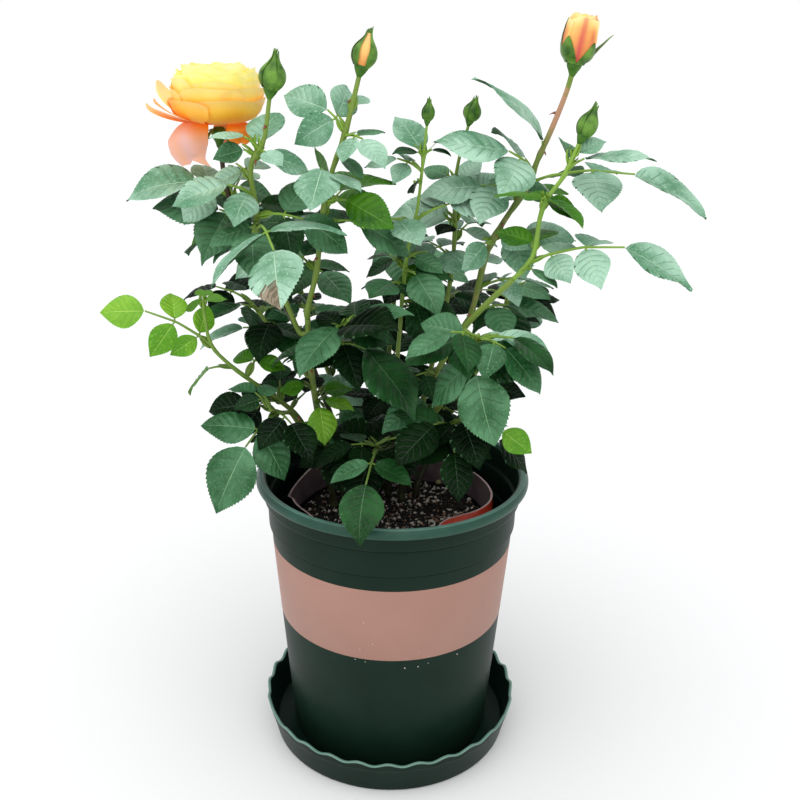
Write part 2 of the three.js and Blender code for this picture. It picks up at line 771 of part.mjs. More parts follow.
// A narrow blade with a thick middle, for a sepal or a petal
function petal(root, along, across, length, halfWidth) {
  const up = across.clone().cross(along).normalize();
  const place = (far, side, lift) => (
    offset(offset(offset(root, along, far * length), across, side * halfWidth), up, lift)
  );
  const half = LEAFLET_THICKNESS / 2;
  const points = [
    place(0, 0.6, 0), place(0.55, 1, 0), place(1, 0, 0), place(0.55, -1, 0), place(0, -0.6, 0),
    place(0.4, 0, half), place(0.4, 0, -half),
  ];
  const faces = [];
  for (let k = 0; k < 5; k += 1) faces.push([5, k, (k + 1) % 5], [6, (k + 1) % 5, k]);
  return { points, faces };
}

// A bud: the swelling under it, the closed petals and, on a large one, its sepals
function budHead(owner, base, along, { width, length }) {
  const solids = [spindle(base, along, [
    [-0.04 * length, 0.1 * width], [0.08 * length, 0.28 * width], [0.24 * length, 0.33 * width],
    [0.45 * length, 0.5 * width], [0.7 * length, 0.38 * width], [length, 0.05 * width],
  ], 7)];
  const side = along.clone().cross(vector(0, 1, 0)).normalize();
  const sepals = width > 12 ? 4 : 0;
  for (let k = 0; k < sepals; k += 1) {
    const out = side.clone().applyAxisAngle(along, (2 * Math.PI * k) / sepals + 0.4);
    const way = along.clone().addScaledVector(out, 0.75).normalize();
    const root = offset(offset(base, along, 0.22 * length), out, 0.14 * width);
    solids.push(petal(root, way, way.clone().cross(out).normalize(), 0.6 * length, 0.12 * width));
  }
  return { solids, items: [rodItem(owner, base, offset(base, along, length), 0.5 * width)] };
}

// The open bloom: rings of petals as one ruffled body, and one petal that hangs from it
function bloomHead(owner, base, { width, length }) {
  const sides = 12;
  const half = width / 2;
  const centre = offset(base, vector(-1, 0, 0), 4);
  const ruffles = [
    [-0.02, 0.07, 0], [0.1, 0.5, 0], [0.24, 0.86, 0.1], [0.32, 0.7, 0.04], [0.54, 0.92, 0.1],
    [0.64, 0.72, 0.06], [0.88, 0.86, 0.09], [0.98, 0.46, 0.08], [0.94, 0.05, 0],
  ];
  const points = [];
  const faces = [];
  ruffles.forEach(([height, radius, wave], ring) => {
    for (let k = 0; k < sides; k += 1) {
      const heading = (360 * k) / sides;
      const ruffle = wave * Math.cos(radians(heading * 4 + 100 * ring));
      const middle = height < 0 ? base : centre;
      const out = offset(middle, direction(heading, 0), half * (radius + ruffle));
      points.push(offset(out, vector(0, 0, 1), length * (height + 0.5 * ruffle)));
    }
  });
  const last = ruffles.length - 1;
  for (let ring = 0; ring < last; ring += 1) {
    for (let k = 0; k < sides; k += 1) {
      const next = (k + 1) % sides;
      const [low, high] = [ring * sides, (ring + 1) * sides];
      faces.push([low + k, low + next, high + next], [low + k, high + next, high + k]);
    }
  }
  for (let k = 1; k < sides - 1; k += 1) {
    faces.push([0, k + 1, k], [last * sides, last * sides + k, last * sides + k + 1]);
  }
  const hanging = offset(offset(centre, direction(205, 0), 0.2 * width), vector(0, 0, 1), 0.16 * length);
  const way = direction(246, -58);
  const solids = [{ points, faces }, petal(hanging, way, direction(156, 0), 0.42 * width, 0.2 * width)];
  const [low, high] = [0.45, 0.6].map((share) => offset(centre, vector(0, 0, 1), share * length));
  const items = [
    rodItem(owner, low, high, half),
    rodItem(owner, hanging, offset(hanging, way, 0.4 * width), 0.16 * width),
  ];
  return { solids, items };
}

// Solids

// Joins closed bodies into one and lets go of any loose scrap
function joined(solids) {
  const whole = solids
    .map(({ points, faces }) => new wasm.Manifold(new wasm.Mesh({
      numProp: 3,
      vertProperties: Float32Array.from(points.flatMap((point) => point.toArray())),
      triVerts: Uint32Array.from(faces.flat()),
    })))
    .reduce((sum, next) => sum.add(next));
  const pieces = whole.decompose().sort((one, other) => other.volume() - one.volume());
  const mesh = pieces[0].getMesh();
  const geometry = new THREE.BufferGeometry();
  geometry.setAttribute('position', new THREE.BufferAttribute(mesh.vertProperties, 3));
  geometry.setIndex(new THREE.BufferAttribute(mesh.triVerts, 1));
  geometry.computeVertexNormals();
  return geometry;
}

function plainGeometry({ points, faces }) {
  const geometry = new THREE.BufferGeometry();
  const places = points.flatMap((point) => point.toArray());
  geometry.setAttribute('position', new THREE.Float32BufferAttribute(places, 3));
  geometry.setIndex(faces.flat());
  geometry.computeVertexNormals();
  return geometry;
}

// A turned shape about Z whose profile runs from the axis, round the outside and back to
// the axis. Its points may then be shifted by a function of the point.
function turned(profile, segments, shift = null) {
  const outline = profile.map(([radius, height]) => new THREE.Vector2(radius, height));
  const lathe = new THREE.LatheGeometry(outline, segments);
  lathe.rotateX(Math.PI / 2);
  lathe.deleteAttribute('normal');
  lathe.deleteAttribute('uv');
  const geometry = mergeVertices(lathe, 1e-4);
  const index = [...geometry.index.array];
  const kept = [];
  for (let i = 0; i < index.length; i += 3) {
    const [a, b, c] = index.slice(i, i + 3);
    if (a !== b && b !== c && c !== a) kept.push(a, b, c);
  }
  geometry.setIndex(kept);
  if (shift) {
    const position = geometry.attributes.position;
    for (let i = 0; i < position.count; i += 1) {
      const point = shift(vector(position.getX(i), position.getY(i), position.getZ(i)));
      position.setXYZ(i, point.x, point.y, point.z);
    }
  }
  geometry.computeVertexNormals();
  return geometry;
}

const part = new THREE.Group();

function addNode(name, geometry, look) {
  const mesh = new THREE.Mesh(geometry, new THREE.MeshStandardMaterial(look));
  mesh.name = name;
  part.add(mesh);
}

// The saucer, with its scalloped rim
function saucerGeometry() {
  const rim = SAUCER_RIM_RADIUS;
  const waist = rim - 1.6;
  const profile = [
    [0, 0], [SAUCER_FOOT_RADIUS, 0], [waist, SAUCER_HEIGHT - 6], [rim, SAUCER_HEIGHT],
    [rim - SAUCER_WALL, SAUCER_HEIGHT], [waist - SAUCER_WALL, SAUCER_HEIGHT - 6],
    [SAUCER_FOOT_RADIUS - 1, SAUCER_FLOOR], [0, SAUCER_FLOOR],
  ];
  const waveBottom = SAUCER_HEIGHT - 8;
  return turned(profile, SCALLOPS * 3, (point) => {
    const share = THREE.MathUtils.clamp((point.z - waveBottom) / (SAUCER_HEIGHT - waveBottom), 0, 1);
    const wave = Math.cos(SCALLOPS * Math.atan2(point.y, point.x)) * share;
    const radius = Math.hypot(point.x, point.y);
    const grown = radius > 0 ? (radius + SCALLOP_REACH * wave) / radius : 1;
    return vector(point.x * grown, point.y * grown, point.z + SCALLOP_RISE * wave);
  });
}

// The pot: a tapered wall with a step, a collar and a rounded lip
function potGeometry() {
  const lipBottom = POT_TOP - LIP_HEIGHT;
  const floor = POT_FOOT + POT_FLOOR_THICKNESS;
  const profile = [
    [0, POT_FOOT], [POT_FOOT_RADIUS - 1.5, POT_FOOT], [POT_FOOT_RADIUS, POT_FOOT + 1.5],
    [BODY_TOP_RADIUS, STEP_BOTTOM - 1], [BODY_TOP_RADIUS + 1, STEP_BOTTOM],
    [STEP_TOP_RADIUS, COLLAR_BOTTOM - 1], [COLLAR_RADIUS, COLLAR_BOTTOM],
    [COLLAR_RADIUS + 0.6, lipBottom], [LIP_RADIUS, lipBottom], [LIP_RADIUS, POT_TOP - 1.6],
    [LIP_RADIUS - 1.4, POT_TOP], [LIP_INNER_RADIUS, POT_TOP],
    [COLLAR_RADIUS - POT_WALL, lipBottom - 2], [BODY_TOP_RADIUS - POT_WALL, STEP_BOTTOM - 1],
    [POT_FOOT_RADIUS - POT_WALL, floor], [0, floor],
  ];
  return turned(profile, POT_SEGMENTS);
}

// How far the liner is pushed in or out at a heading and a height
function linerShift(point) {
  const heading = Math.atan2(point.y, point.x);
  const share = THREE.MathUtils.clamp((point.z - LINER_FOOT) / (LINER_RIM - LINER_FOOT), 0, 1) ** 3;
  const folds = 2.4 * Math.cos(2 * heading + 0.8) + 1.6 * Math.cos(5 * heading + 2);
  const dent = -8 * Math.exp(-(((heading + 2.75) / 0.36) ** 2));
  const lean = 3.5 * Math.sin(heading) + 2 * Math.cos(3 * heading);
  const radius = Math.hypot(point.x, point.y);
  const grown = radius > 1 ? (radius + (folds + dent) * share * Math.min(1, radius / 40)) / radius : 1;
  const rise = radius > MIX_FLAT_RADIUS && point.z > MIX_TOP + 8 ? lean : 0;
  return vector(point.x * grown, point.y * grown, point.z + rise);
}

function linerRadius(height) {
  const share = (height - LINER_FOOT) / (LINER_RIM - LINER_FOOT);
  return LINER_FOOT_RADIUS + (LINER_TOP_RADIUS - LINER_FOOT_RADIUS) * share;
}

function linerGeometry() {
  const floor = LINER_FOOT + LINER_FLOOR;
  const wall = (height, inset) => [linerRadius(height) - inset, height];
  const profile = [
    [0, LINER_FOOT], wall(LINER_FOOT, 0), wall(LINER_BEND, 0), wall(MIX_TOP, 0), wall(LINER_RIM, 0),
    wall(LINER_RIM, LINER_WALL), wall(MIX_TOP, LINER_WALL), wall(LINER_BEND, LINER_WALL),
    [LINER_FOOT_RADIUS - LINER_WALL, floor], [0, floor],
  ];
  return turned(profile, LINER_SEGMENTS, linerShift);
}

// The mix, level where the canes stand
function mixGeometry() {
  const gap = LINER_WALL + MIX_SIDE_GAP;
  const foot = LINER_FOOT + LINER_FLOOR + SEAT;
  const profile = [
    [0, foot], [LINER_FOOT_RADIUS - gap, foot], [linerRadius(LINER_BEND) - gap, LINER_BEND],
    [linerRadius(MIX_TOP) - gap, MIX_TOP], [MIX_FLAT_RADIUS, MIX_TOP], [0, MIX_TOP],
  ];
  return turned(profile, LINER_SEGMENTS, linerShift);
}

addNode('saucer', saucerGeometry(), COLOURS.saucer);
addNode('pot', potGeometry(), COLOURS.pot);
addNode('nursery_liner', linerGeometry(), COLOURS.liner);
addNode('potting_mix', mixGeometry(), COLOURS.mix);

// Canes and boughs

const limbs = new Map();

function addLimb(label, start, plan, flare) {
  const points = [...start, ...plan.via.map((place) => vector(...place))];
  const run = smoothRun(points, 2);
  const radii = taper(run, plan.thick, plan.thin, flare);
  limbs.set(label, { run, thick: plan.thick, thin: plan.thin });
  taken.push(...runItems(label, run, radii));
  addNode(label, plainGeometry(tube(run, radii, CANE_SIDES)), COLOURS.cane);
}

CANES.forEach((plan) => {
  const foot = vector(...plan.foot, MIX_TOP + SEAT);
  addLimb(`cane_${plan.name}`, [foot, foot.clone().setZ(foot.z + FOOT_STRAIGHT)], plan, FLARE);
});

BOUGHS.forEach((plan) => {
  const start = startClear(limbs.get(`cane_${plan.cane}`), plan.share, vector(...plan.via[0]));
  addLimb(`bough_${plan.name}`, start, plan, 0);
});

// Masses of foliage

// The stem of a mass, from just clear of its limb's tip
function startMass(plan) {
  const owner = `foliage_${plan.name}`;
  const points = [...startClear(limbs.get(plan.limb)), ...plan.via.map((place) => vector(...place))];
  const run = smoothRun(points, 1);
  const radii = taper(run, plan.thick, plan.thin);
  const mass = { owner, plan, run, solids: [tube(run, radii, STEM_SIDES)] };
  taken.push(...runItems(owner, run, radii));
  if (plan.head) {
    const tip = run[run.length - 1];
    const along = placeOnRun(run, 1).along;
    const head = plan.head.kind === 'bloom'
      ? bloomHead(owner, tip, plan.head)
      : budHead(owner, tip, along, plan.head);
    mass.solids.push(...head.solids);
    taken.push(...head.items);
  }
  return mass;
}

function addLeaf(mass, plan, random) {
  const grown = grownLeaf(mass.owner, placeOnRun(mass.run, plan.share).point, plan, random);
  if (!grown) return false;
  mass.solids.push(...grown.solids);
  taken.push(...grown.items);
  return true;
}

// Leaves dealt round the stem by the golden angle, each tried a few times for free room
function dealLeaf(mass, index, random) {
  const { count, from, to, length, rise } = mass.plan.deal;
  for (let attempt = 0; attempt < LEAF_TRIES; attempt += 1) {
    const plan = {
      share: from + ((to - from) * (index + random())) / count,
      heading: GOLDEN_ANGLE * index + spread(random, HEADING_SPREAD) + RETRY_TURN * attempt,
      rise: rise + spread(random, RISE_SPREAD),
      length: length * (1 + spread(random, LENGTH_SPREAD)),
      leaflets: random() < FIVE_SHARE ? 5 : 3,
      size: LEAFLET_LENGTH * (0.82 + 0.22 * random()),
      lean: spread(random, LEAN_SPREAD),
      pairs: 1,
      dealt: true,
    };
    if (addLeaf(mass, plan, random)) return;
  }
}

const masses = MASSES.map(startMass);
masses.forEach((mass) => {
  const random = seeded(mass.plan.deal.seed);
  mass.plan.leaves.forEach((plan) => addLeaf(mass, plan, random));
});
const dealt = masses.map((mass) => seeded(mass.plan.deal.seed + 1000));
const mostDealt = Math.max(...MASSES.map((plan) => plan.deal.count));
for (let index = 0; index < mostDealt; index += 1) {
  masses.forEach((mass, k) => {
    if (index < mass.plan.deal.count) dealLeaf(mass, index, dealt[k]);
  });
}

masses.forEach((mass) => {
  addNode(mass.owner, joined(mass.solids), mass.plan.young ? COLOURS.young : COLOURS.foliage);
});

export default part;
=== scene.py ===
"""Looks of a potted rose bush: canes, leaves, buds, bloom, pot, saucer and potting mix.

Sizes are in millimetres, +Z up, from the centre of the saucer's flat underside, and are
turned into metres where a mesh is made.
"""

import math

import bpy
import numpy as np
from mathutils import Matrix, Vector


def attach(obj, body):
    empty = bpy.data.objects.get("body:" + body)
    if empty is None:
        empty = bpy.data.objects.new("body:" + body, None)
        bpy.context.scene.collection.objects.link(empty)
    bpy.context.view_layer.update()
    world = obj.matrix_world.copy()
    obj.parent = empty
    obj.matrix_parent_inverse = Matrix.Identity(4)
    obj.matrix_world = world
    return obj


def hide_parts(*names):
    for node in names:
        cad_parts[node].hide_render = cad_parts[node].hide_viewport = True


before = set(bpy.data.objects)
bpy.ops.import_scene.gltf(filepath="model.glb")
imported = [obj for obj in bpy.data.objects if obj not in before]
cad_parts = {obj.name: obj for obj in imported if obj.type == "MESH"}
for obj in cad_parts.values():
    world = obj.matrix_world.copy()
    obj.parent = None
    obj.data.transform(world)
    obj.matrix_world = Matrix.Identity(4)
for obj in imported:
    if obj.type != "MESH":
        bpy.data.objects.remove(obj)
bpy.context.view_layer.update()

MM = 0.001

# Below this a length or an area counts as none
TINY = 1e-9

# Gap kept between pieces that rest on each other
SEAT = 0.3

# Saucer
SAUCER_FOOT_RADIUS = 77
SAUCER_RIM_RADIUS = 83
SAUCER_HEIGHT = 24
SAUCER_FLOOR = 2.7
SAUCER_WALL = 1.8
SCALLOPS = 28
SCALLOP_SEGMENTS = 12
SCALLOP_RISE = 1.4
SCALLOP_REACH = 0.4

# Pot
POT_FOOT = SAUCER_FLOOR + SEAT
POT_TOP = 185
POT_FOOT_RADIUS = 64.5
POT_WALL = 2
POT_FLOOR_THICKNESS = 3
LIP_RADIUS = 85
LIP_INNER_RADIUS = 79
LIP_HEIGHT = 6.1
COLLAR_RADIUS = 80
COLLAR_BOTTOM = 169.5
STEP_TOP_RADIUS = 78.4
STEP_BOTTOM = 152
BODY_TOP_RADIUS = 76.6
BAND_TOP = 141.4
BAND_BOTTOM = 91.7
BAND_THICKNESS = 0.12
POT_SEGMENTS = 192

# Liner and mix
LINER_FOOT = POT_FOOT + POT_FLOOR_THICKNESS + SEAT
LINER_WALL = 1.2
LINER_FLOOR = 1.5
LINER_RIM = 166
LINER_TOP_RADIUS = 64
LINER_FOOT_RADIUS = 52
FLAP_HEADING = -0.7
FLAP_REACH = 23
FLAP_SPREAD = 0.42
LINER_SEGMENTS = 180
LIT_STEPS = 6
MIX_TOP = 150
MIX_SIDE_GAP = 1.8
MIX_SEGMENTS = 220
MIX_RINGS = 60
GRAINS = 2800
STRAWS = 12
STRAW_RADIUS = 0.3
STRAW_SIDES = 5
SPECKS = 16
CHIP = (32, 53)
CHIP_SIZE = 2.2

# Canes, as in the solids, with finer rings
CANE_STEPS = 2
STEM_STEPS = 1
FINE_STEPS = 4
CANE_SIDES = 14
FOOT_STRAIGHT = 5
TIP_STRAIGHT = 4
SIDE_STRAIGHT = 3
FLARE_HEIGHT = 10
FLARE = 0.4
BARK_RELIEF = 0.07
NODE_SWELLING = 0.28
NODE_LENGTH = 2.2
THORN_SPACING = 24
THORN_LENGTH = 3.4
THORN_RADII = [1.1, 0.75, 0.4, 0.06]
THORN_SIDES = 6
THORNLESS_TIP = 12

# Leaves, by the rule that the solids follow
LEAFLET_LENGTH = 34
LEAFLET_HALF_WIDTH = 0.31
LEAFLET_FOLD = 0.22
LEAFLET_START = 2
LEAFLET_MIDDLE = 0.48
LEAFLET_RIM = [(0.3, 0.95), (0.66, 0.86), (1, 0), (0.66, -0.86), (0.3, -0.95)]
LEAFLET_DROOP = 0.06
DROOP_SPREAD = 0.1
STALK_RADIUS = 0.85
SHORTEST_STALK = 5
STALK_RINGS = {
    1: [0, 0.5, 1],
    3: [0, 0.3, 0.56, 0.62, 1],
    5: [0, 0.22, 0.27, 0.58, 0.63, 1],
}
PAIR_STARTS = {1: [], 3: [2], 5: [1, 3]}
PAIR_SIZES = [0.86, 0.74]
PAIR_TURN = 72
PAIR_DIP = 13
END_DIP = 8
STALK_SAG = 34
TURN_SPREAD = 8
DIP_SPREAD = 8
TILT_SPREAD = 14
SIZE_SPREAD = 0.06
GOLDEN_ANGLE = 137.5
LEAF_TRIES = 4
RETRY_TURN = 47
HEADING_SPREAD = 30
RISE_SPREAD = 22
LENGTH_SPREAD = 0.18
LEAN_SPREAD = 24
FIVE_SHARE = 0.7
DEALT_SIZE = (0.82, 0.22)
BLADE_CLEARANCE = 1.9
ROD_CLEARANCE = 1.1
EDGE_OVERRUN = 1

# The fine blade of a leaflet. Its rows run out and forward from the midrib, as the side
# veins do: each vein's row ends in a tooth, and two more teeth stand between two veins.
BLADE_HALF_WIDTH = 0.37
BLADE_COLUMNS = [-1, -0.76, -0.4, -0.024, 0.024, 0.4, 0.76, 1]
BLADE_THICKNESS = 0.35
BLADE_PEAK = 0.43
SIDE_VEINS = 7
FIRST_VEIN = 0.05
VEIN_STEP = 0.126
ROWS_OF_VEIN = [(0, 1, 0), (0.09, 0, 0), (0.36, 1, 0.9), (0.43, 0, 1), (0.7, 1, 0.8), (0.77, 0, 0.6)]
VEIN_SWEEP = 0.26
QUILT = 0.024
TOOTH = 0.05
LEAF_PIECES = 4

# What chance makes of a blade: the least of each, and how much may come on top
FOLD_SHARE = (0.6, 1.1)
CURL = (0.08, 0.2)
TIP_CURL = (0.1, 0.5)
WAVE = (0.02, 0.05)
PHASE = (0, 6.3)

# Leaves low on the canes, where the crown is dark and dense
LOW_COUNT = 5
LOW_FROM = 178
LOW_TO = 238
LOW_LENGTH = 44
LOW_RISE = 6
LOW_SIZE = 0.86
POT_CLEARANCE = 8
LIP_CLEARANCE = 3

# Where the light comes from, and by how many degrees at most a dealt leaflet turns to it
LIGHT = (0, -0.55, 0.835)
LIGHT_TURN = 26

# From where to where an opening between the leaves is kept clear, along the line of sight
OPENING_ENDS = (-75, 130)

# How far a stalk's foot may move from its place in the solids to reach the fine stem
STALK_SHIFT = 3

# Petals and sepals
PETAL_THICKNESS = 0.5
OPENING_THICKNESS = 0.45
SEPAL_THICKNESS = 0.4
TOWARDS_VIEWER = 270
OPENING_LEAN = (-0.08, 0, 0)

# Where the random numbers of each kind of part start
EXTRA_SEED = 7
BLOOM_SEED = 31
OPENING_SEED = 34
MIX_SEED = 77
CANE_SEED = 300
STEM_SEED = 400
CANE_THORN_SEED = 900
STEM_THORN_SEED = 950
DEAL_SEED = 1000
LOW_SEED = 2000
TONE_SEED = 5000
LOW_TONE_SEED = 6000
BUD_SEEDS = {"bud_left": 3, "bud_centre": 5, "bud_right": 8, "bud_back": 13, "small_bud": 21}

# Camera of the photograph: a pinhole fitted to the ellipses of the rim and of the saucer
CAMERA_PLACE = (4.1, -574.9, 447.4)
CAMERA_PITCH = 20.67
CAMERA_ROLL = 0.806
CAMERA_LENS = 45.16
CAMERA_SENSOR = 36

# Floor and light
FLOOR_HALF = 12000
FLOOR_DROP = 0.2
SUN_POWER = 1.9
SUN_PLACE = (-160, -480, 1500)
SUN_AIM = (0, 0, 250)
SUN_SPREAD = 90

# The sky's colour, from straight down at 0 to straight up at 1
SKY_STOPS = [(0.5, (1, 1, 1)), (0.56, (1, 1, 1)), (0.72, (0.62, 0.63, 0.64)), (1, (0.6, 0.61, 0.62))]

# Angles in degrees between faces from which an edge stays sharp
LEAF_SHARP = 50
SHARP = 60


# Random numbers and vectors


def seeded(seed):
    """A function that gives random numbers between 0 and 1, alike on every run."""
    mask = 0xFFFFFFFF
    state = seed & mask

    def draw():
        nonlocal state
        state = (state + 0x6D2B79F5) & mask
        mixed = state
        mixed = ((mixed ^ (mixed >> 15)) * (mixed | 1)) & mask
        mixed ^= (mixed + ((mixed ^ (mixed >> 7)) * (mixed | 61))) & mask
        return (mixed ^ (mixed >> 14)) / (mask + 1)

    return draw


def spread(random, amount):
    return (random() * 2 - 1) * amount


def chance(random, least_and_more):
    least, more = least_and_more
    return least + more * random()


def vector(x, y, z):
    return np.array([x, y, z], float)


UP = vector(0, 0, 1)


def unit(v):
    return v / np.linalg.norm(v)


def direction(heading, rise):
    turn, lift = math.radians(heading), math.radians(rise)
    return vector(math.cos(lift) * math.cos(turn), math.cos(lift) * math.sin(turn), math.sin(lift))


def turned(v, axis, degrees):
    """A vector turned about a unit axis."""
    angle = math.radians(degrees)
    cosine, sine = math.cos(angle), math.sin(angle)
    return v * cosine + np.cross(axis, v) * sine + axis * (axis @ v) * (1 - cosine)


# Limbs, masses and leaves: the same places as in the solids

CANES = [
    dict(name="bloom", foot=(-24, 36), thick=2.1, thin=1.6,
         via=[(-40, 40, 200), (-60, 32, 262), (-82, 14, 315)]),
    dict(name="bud_centre", foot=(-31, 24), thick=2.3, thin=1.7,
         via=[(-45, 5, 210), (-50, -3, 255), (-51, -6, 283)]),
    dict(name="low_left", foot=(-38, 15), thick=1.9, thin=1.4,
         via=[(-48, 10, 188), (-59, 2, 218), (-78, -10, 240)]),
    dict(name="bud_right", foot=(-12, 27), thick=2.2, thin=1.6,
         via=[(0, 7, 195), (28, -14, 233), (38, -23, 280), (66, -29, 314)]),
    dict(name="open_bud", foot=(6, 26), thick=2.2, thin=1.8,
         via=[(17, 28, 215), (33, 25, 252), (45, 22, 275)]),
    dict(name="bud_back", foot=(9, 40), thick=1.9, thin=1.5,
         via=[(20, 44, 215), (31, 38, 275)]),
    dict(name="small_bud", foot=(-3, 34), thick=1.8, thin=1.3,
         via=[(0, 26, 215), (4, 18, 280)]),
    dict(name="back_left", foot=(-20, 42), thick=2, thin=1.5,
         via=[(-38, 66, 205), (-58, 86, 252)]),
    dict(name="back", foot=(-6, 42), thick=2, thin=1.5,
         via=[(-6, 66, 205), (-2, 92, 255)]),
    dict(name="back_right", foot=(16, 34), thick=2, thin=1.5,
         via=[(38, 56, 200), (64, 74, 238)]),
]

BOUGHS = [
    dict(name="bud_left", cane="bud_centre", share=0.93, thick=1.6, thin=1.4,
         via=[(-66, -3, 298), (-77, -4, 316)]),
    dict(name="left", cane="bud_centre", share=0.72, thick=1.4, thin=1.3,
         via=[(-60, 7, 257), (-66, 12, 262)]),
    dict(name="centre", cane="bud_centre", share=0.8, thick=1.4, thin=1.3,
         via=[(-44, -12, 261), (-41, -16, 264)]),
    dict(name="right_low", cane="bud_right", share=0.62, thick=1.4, thin=1.3,
         via=[(37, -31, 273), (38, -35, 275)]),
    dict(name="front_low", cane="bud_right", share=0.22, thick=1.4, thin=1.3,
         via=[(-7, 2, 194), (-8, -4, 197)]),
    dict(name="right_inside", cane="bud_right", share=0.4, thick=1.4, thin=1.3,
         via=[(23, -16, 219), (26, -20, 221)]),
    dict(name="lower_left", cane="low_left", share=0.62, thick=1.4, thin=1.3,
         via=[(-62, -8, 224), (-64, -12, 226)]),
]


def leaf(share, heading, rise, length, leaflets, size=LEAFLET_LENGTH, lean=12, pairs=1):
    return dict(share=share, heading=heading, rise=rise, length=length, leaflets=leaflets,
                size=size, lean=lean, pairs=pairs)


def shoot(tone, *numbers, **named):
    """A leaf that shows on a cane in the photograph, with its tone."""
    return {**leaf(*numbers, **named), "tone": tone}


def bowed(droop, plan):
    """A leaf whose leaflets bend over by more than the rule's droop."""
    return {**plan, "droop": droop}


def deal(count, seed, start, end, length, rise):
    return dict(count=count, seed=seed, start=start, end=end, length=length, rise=rise)


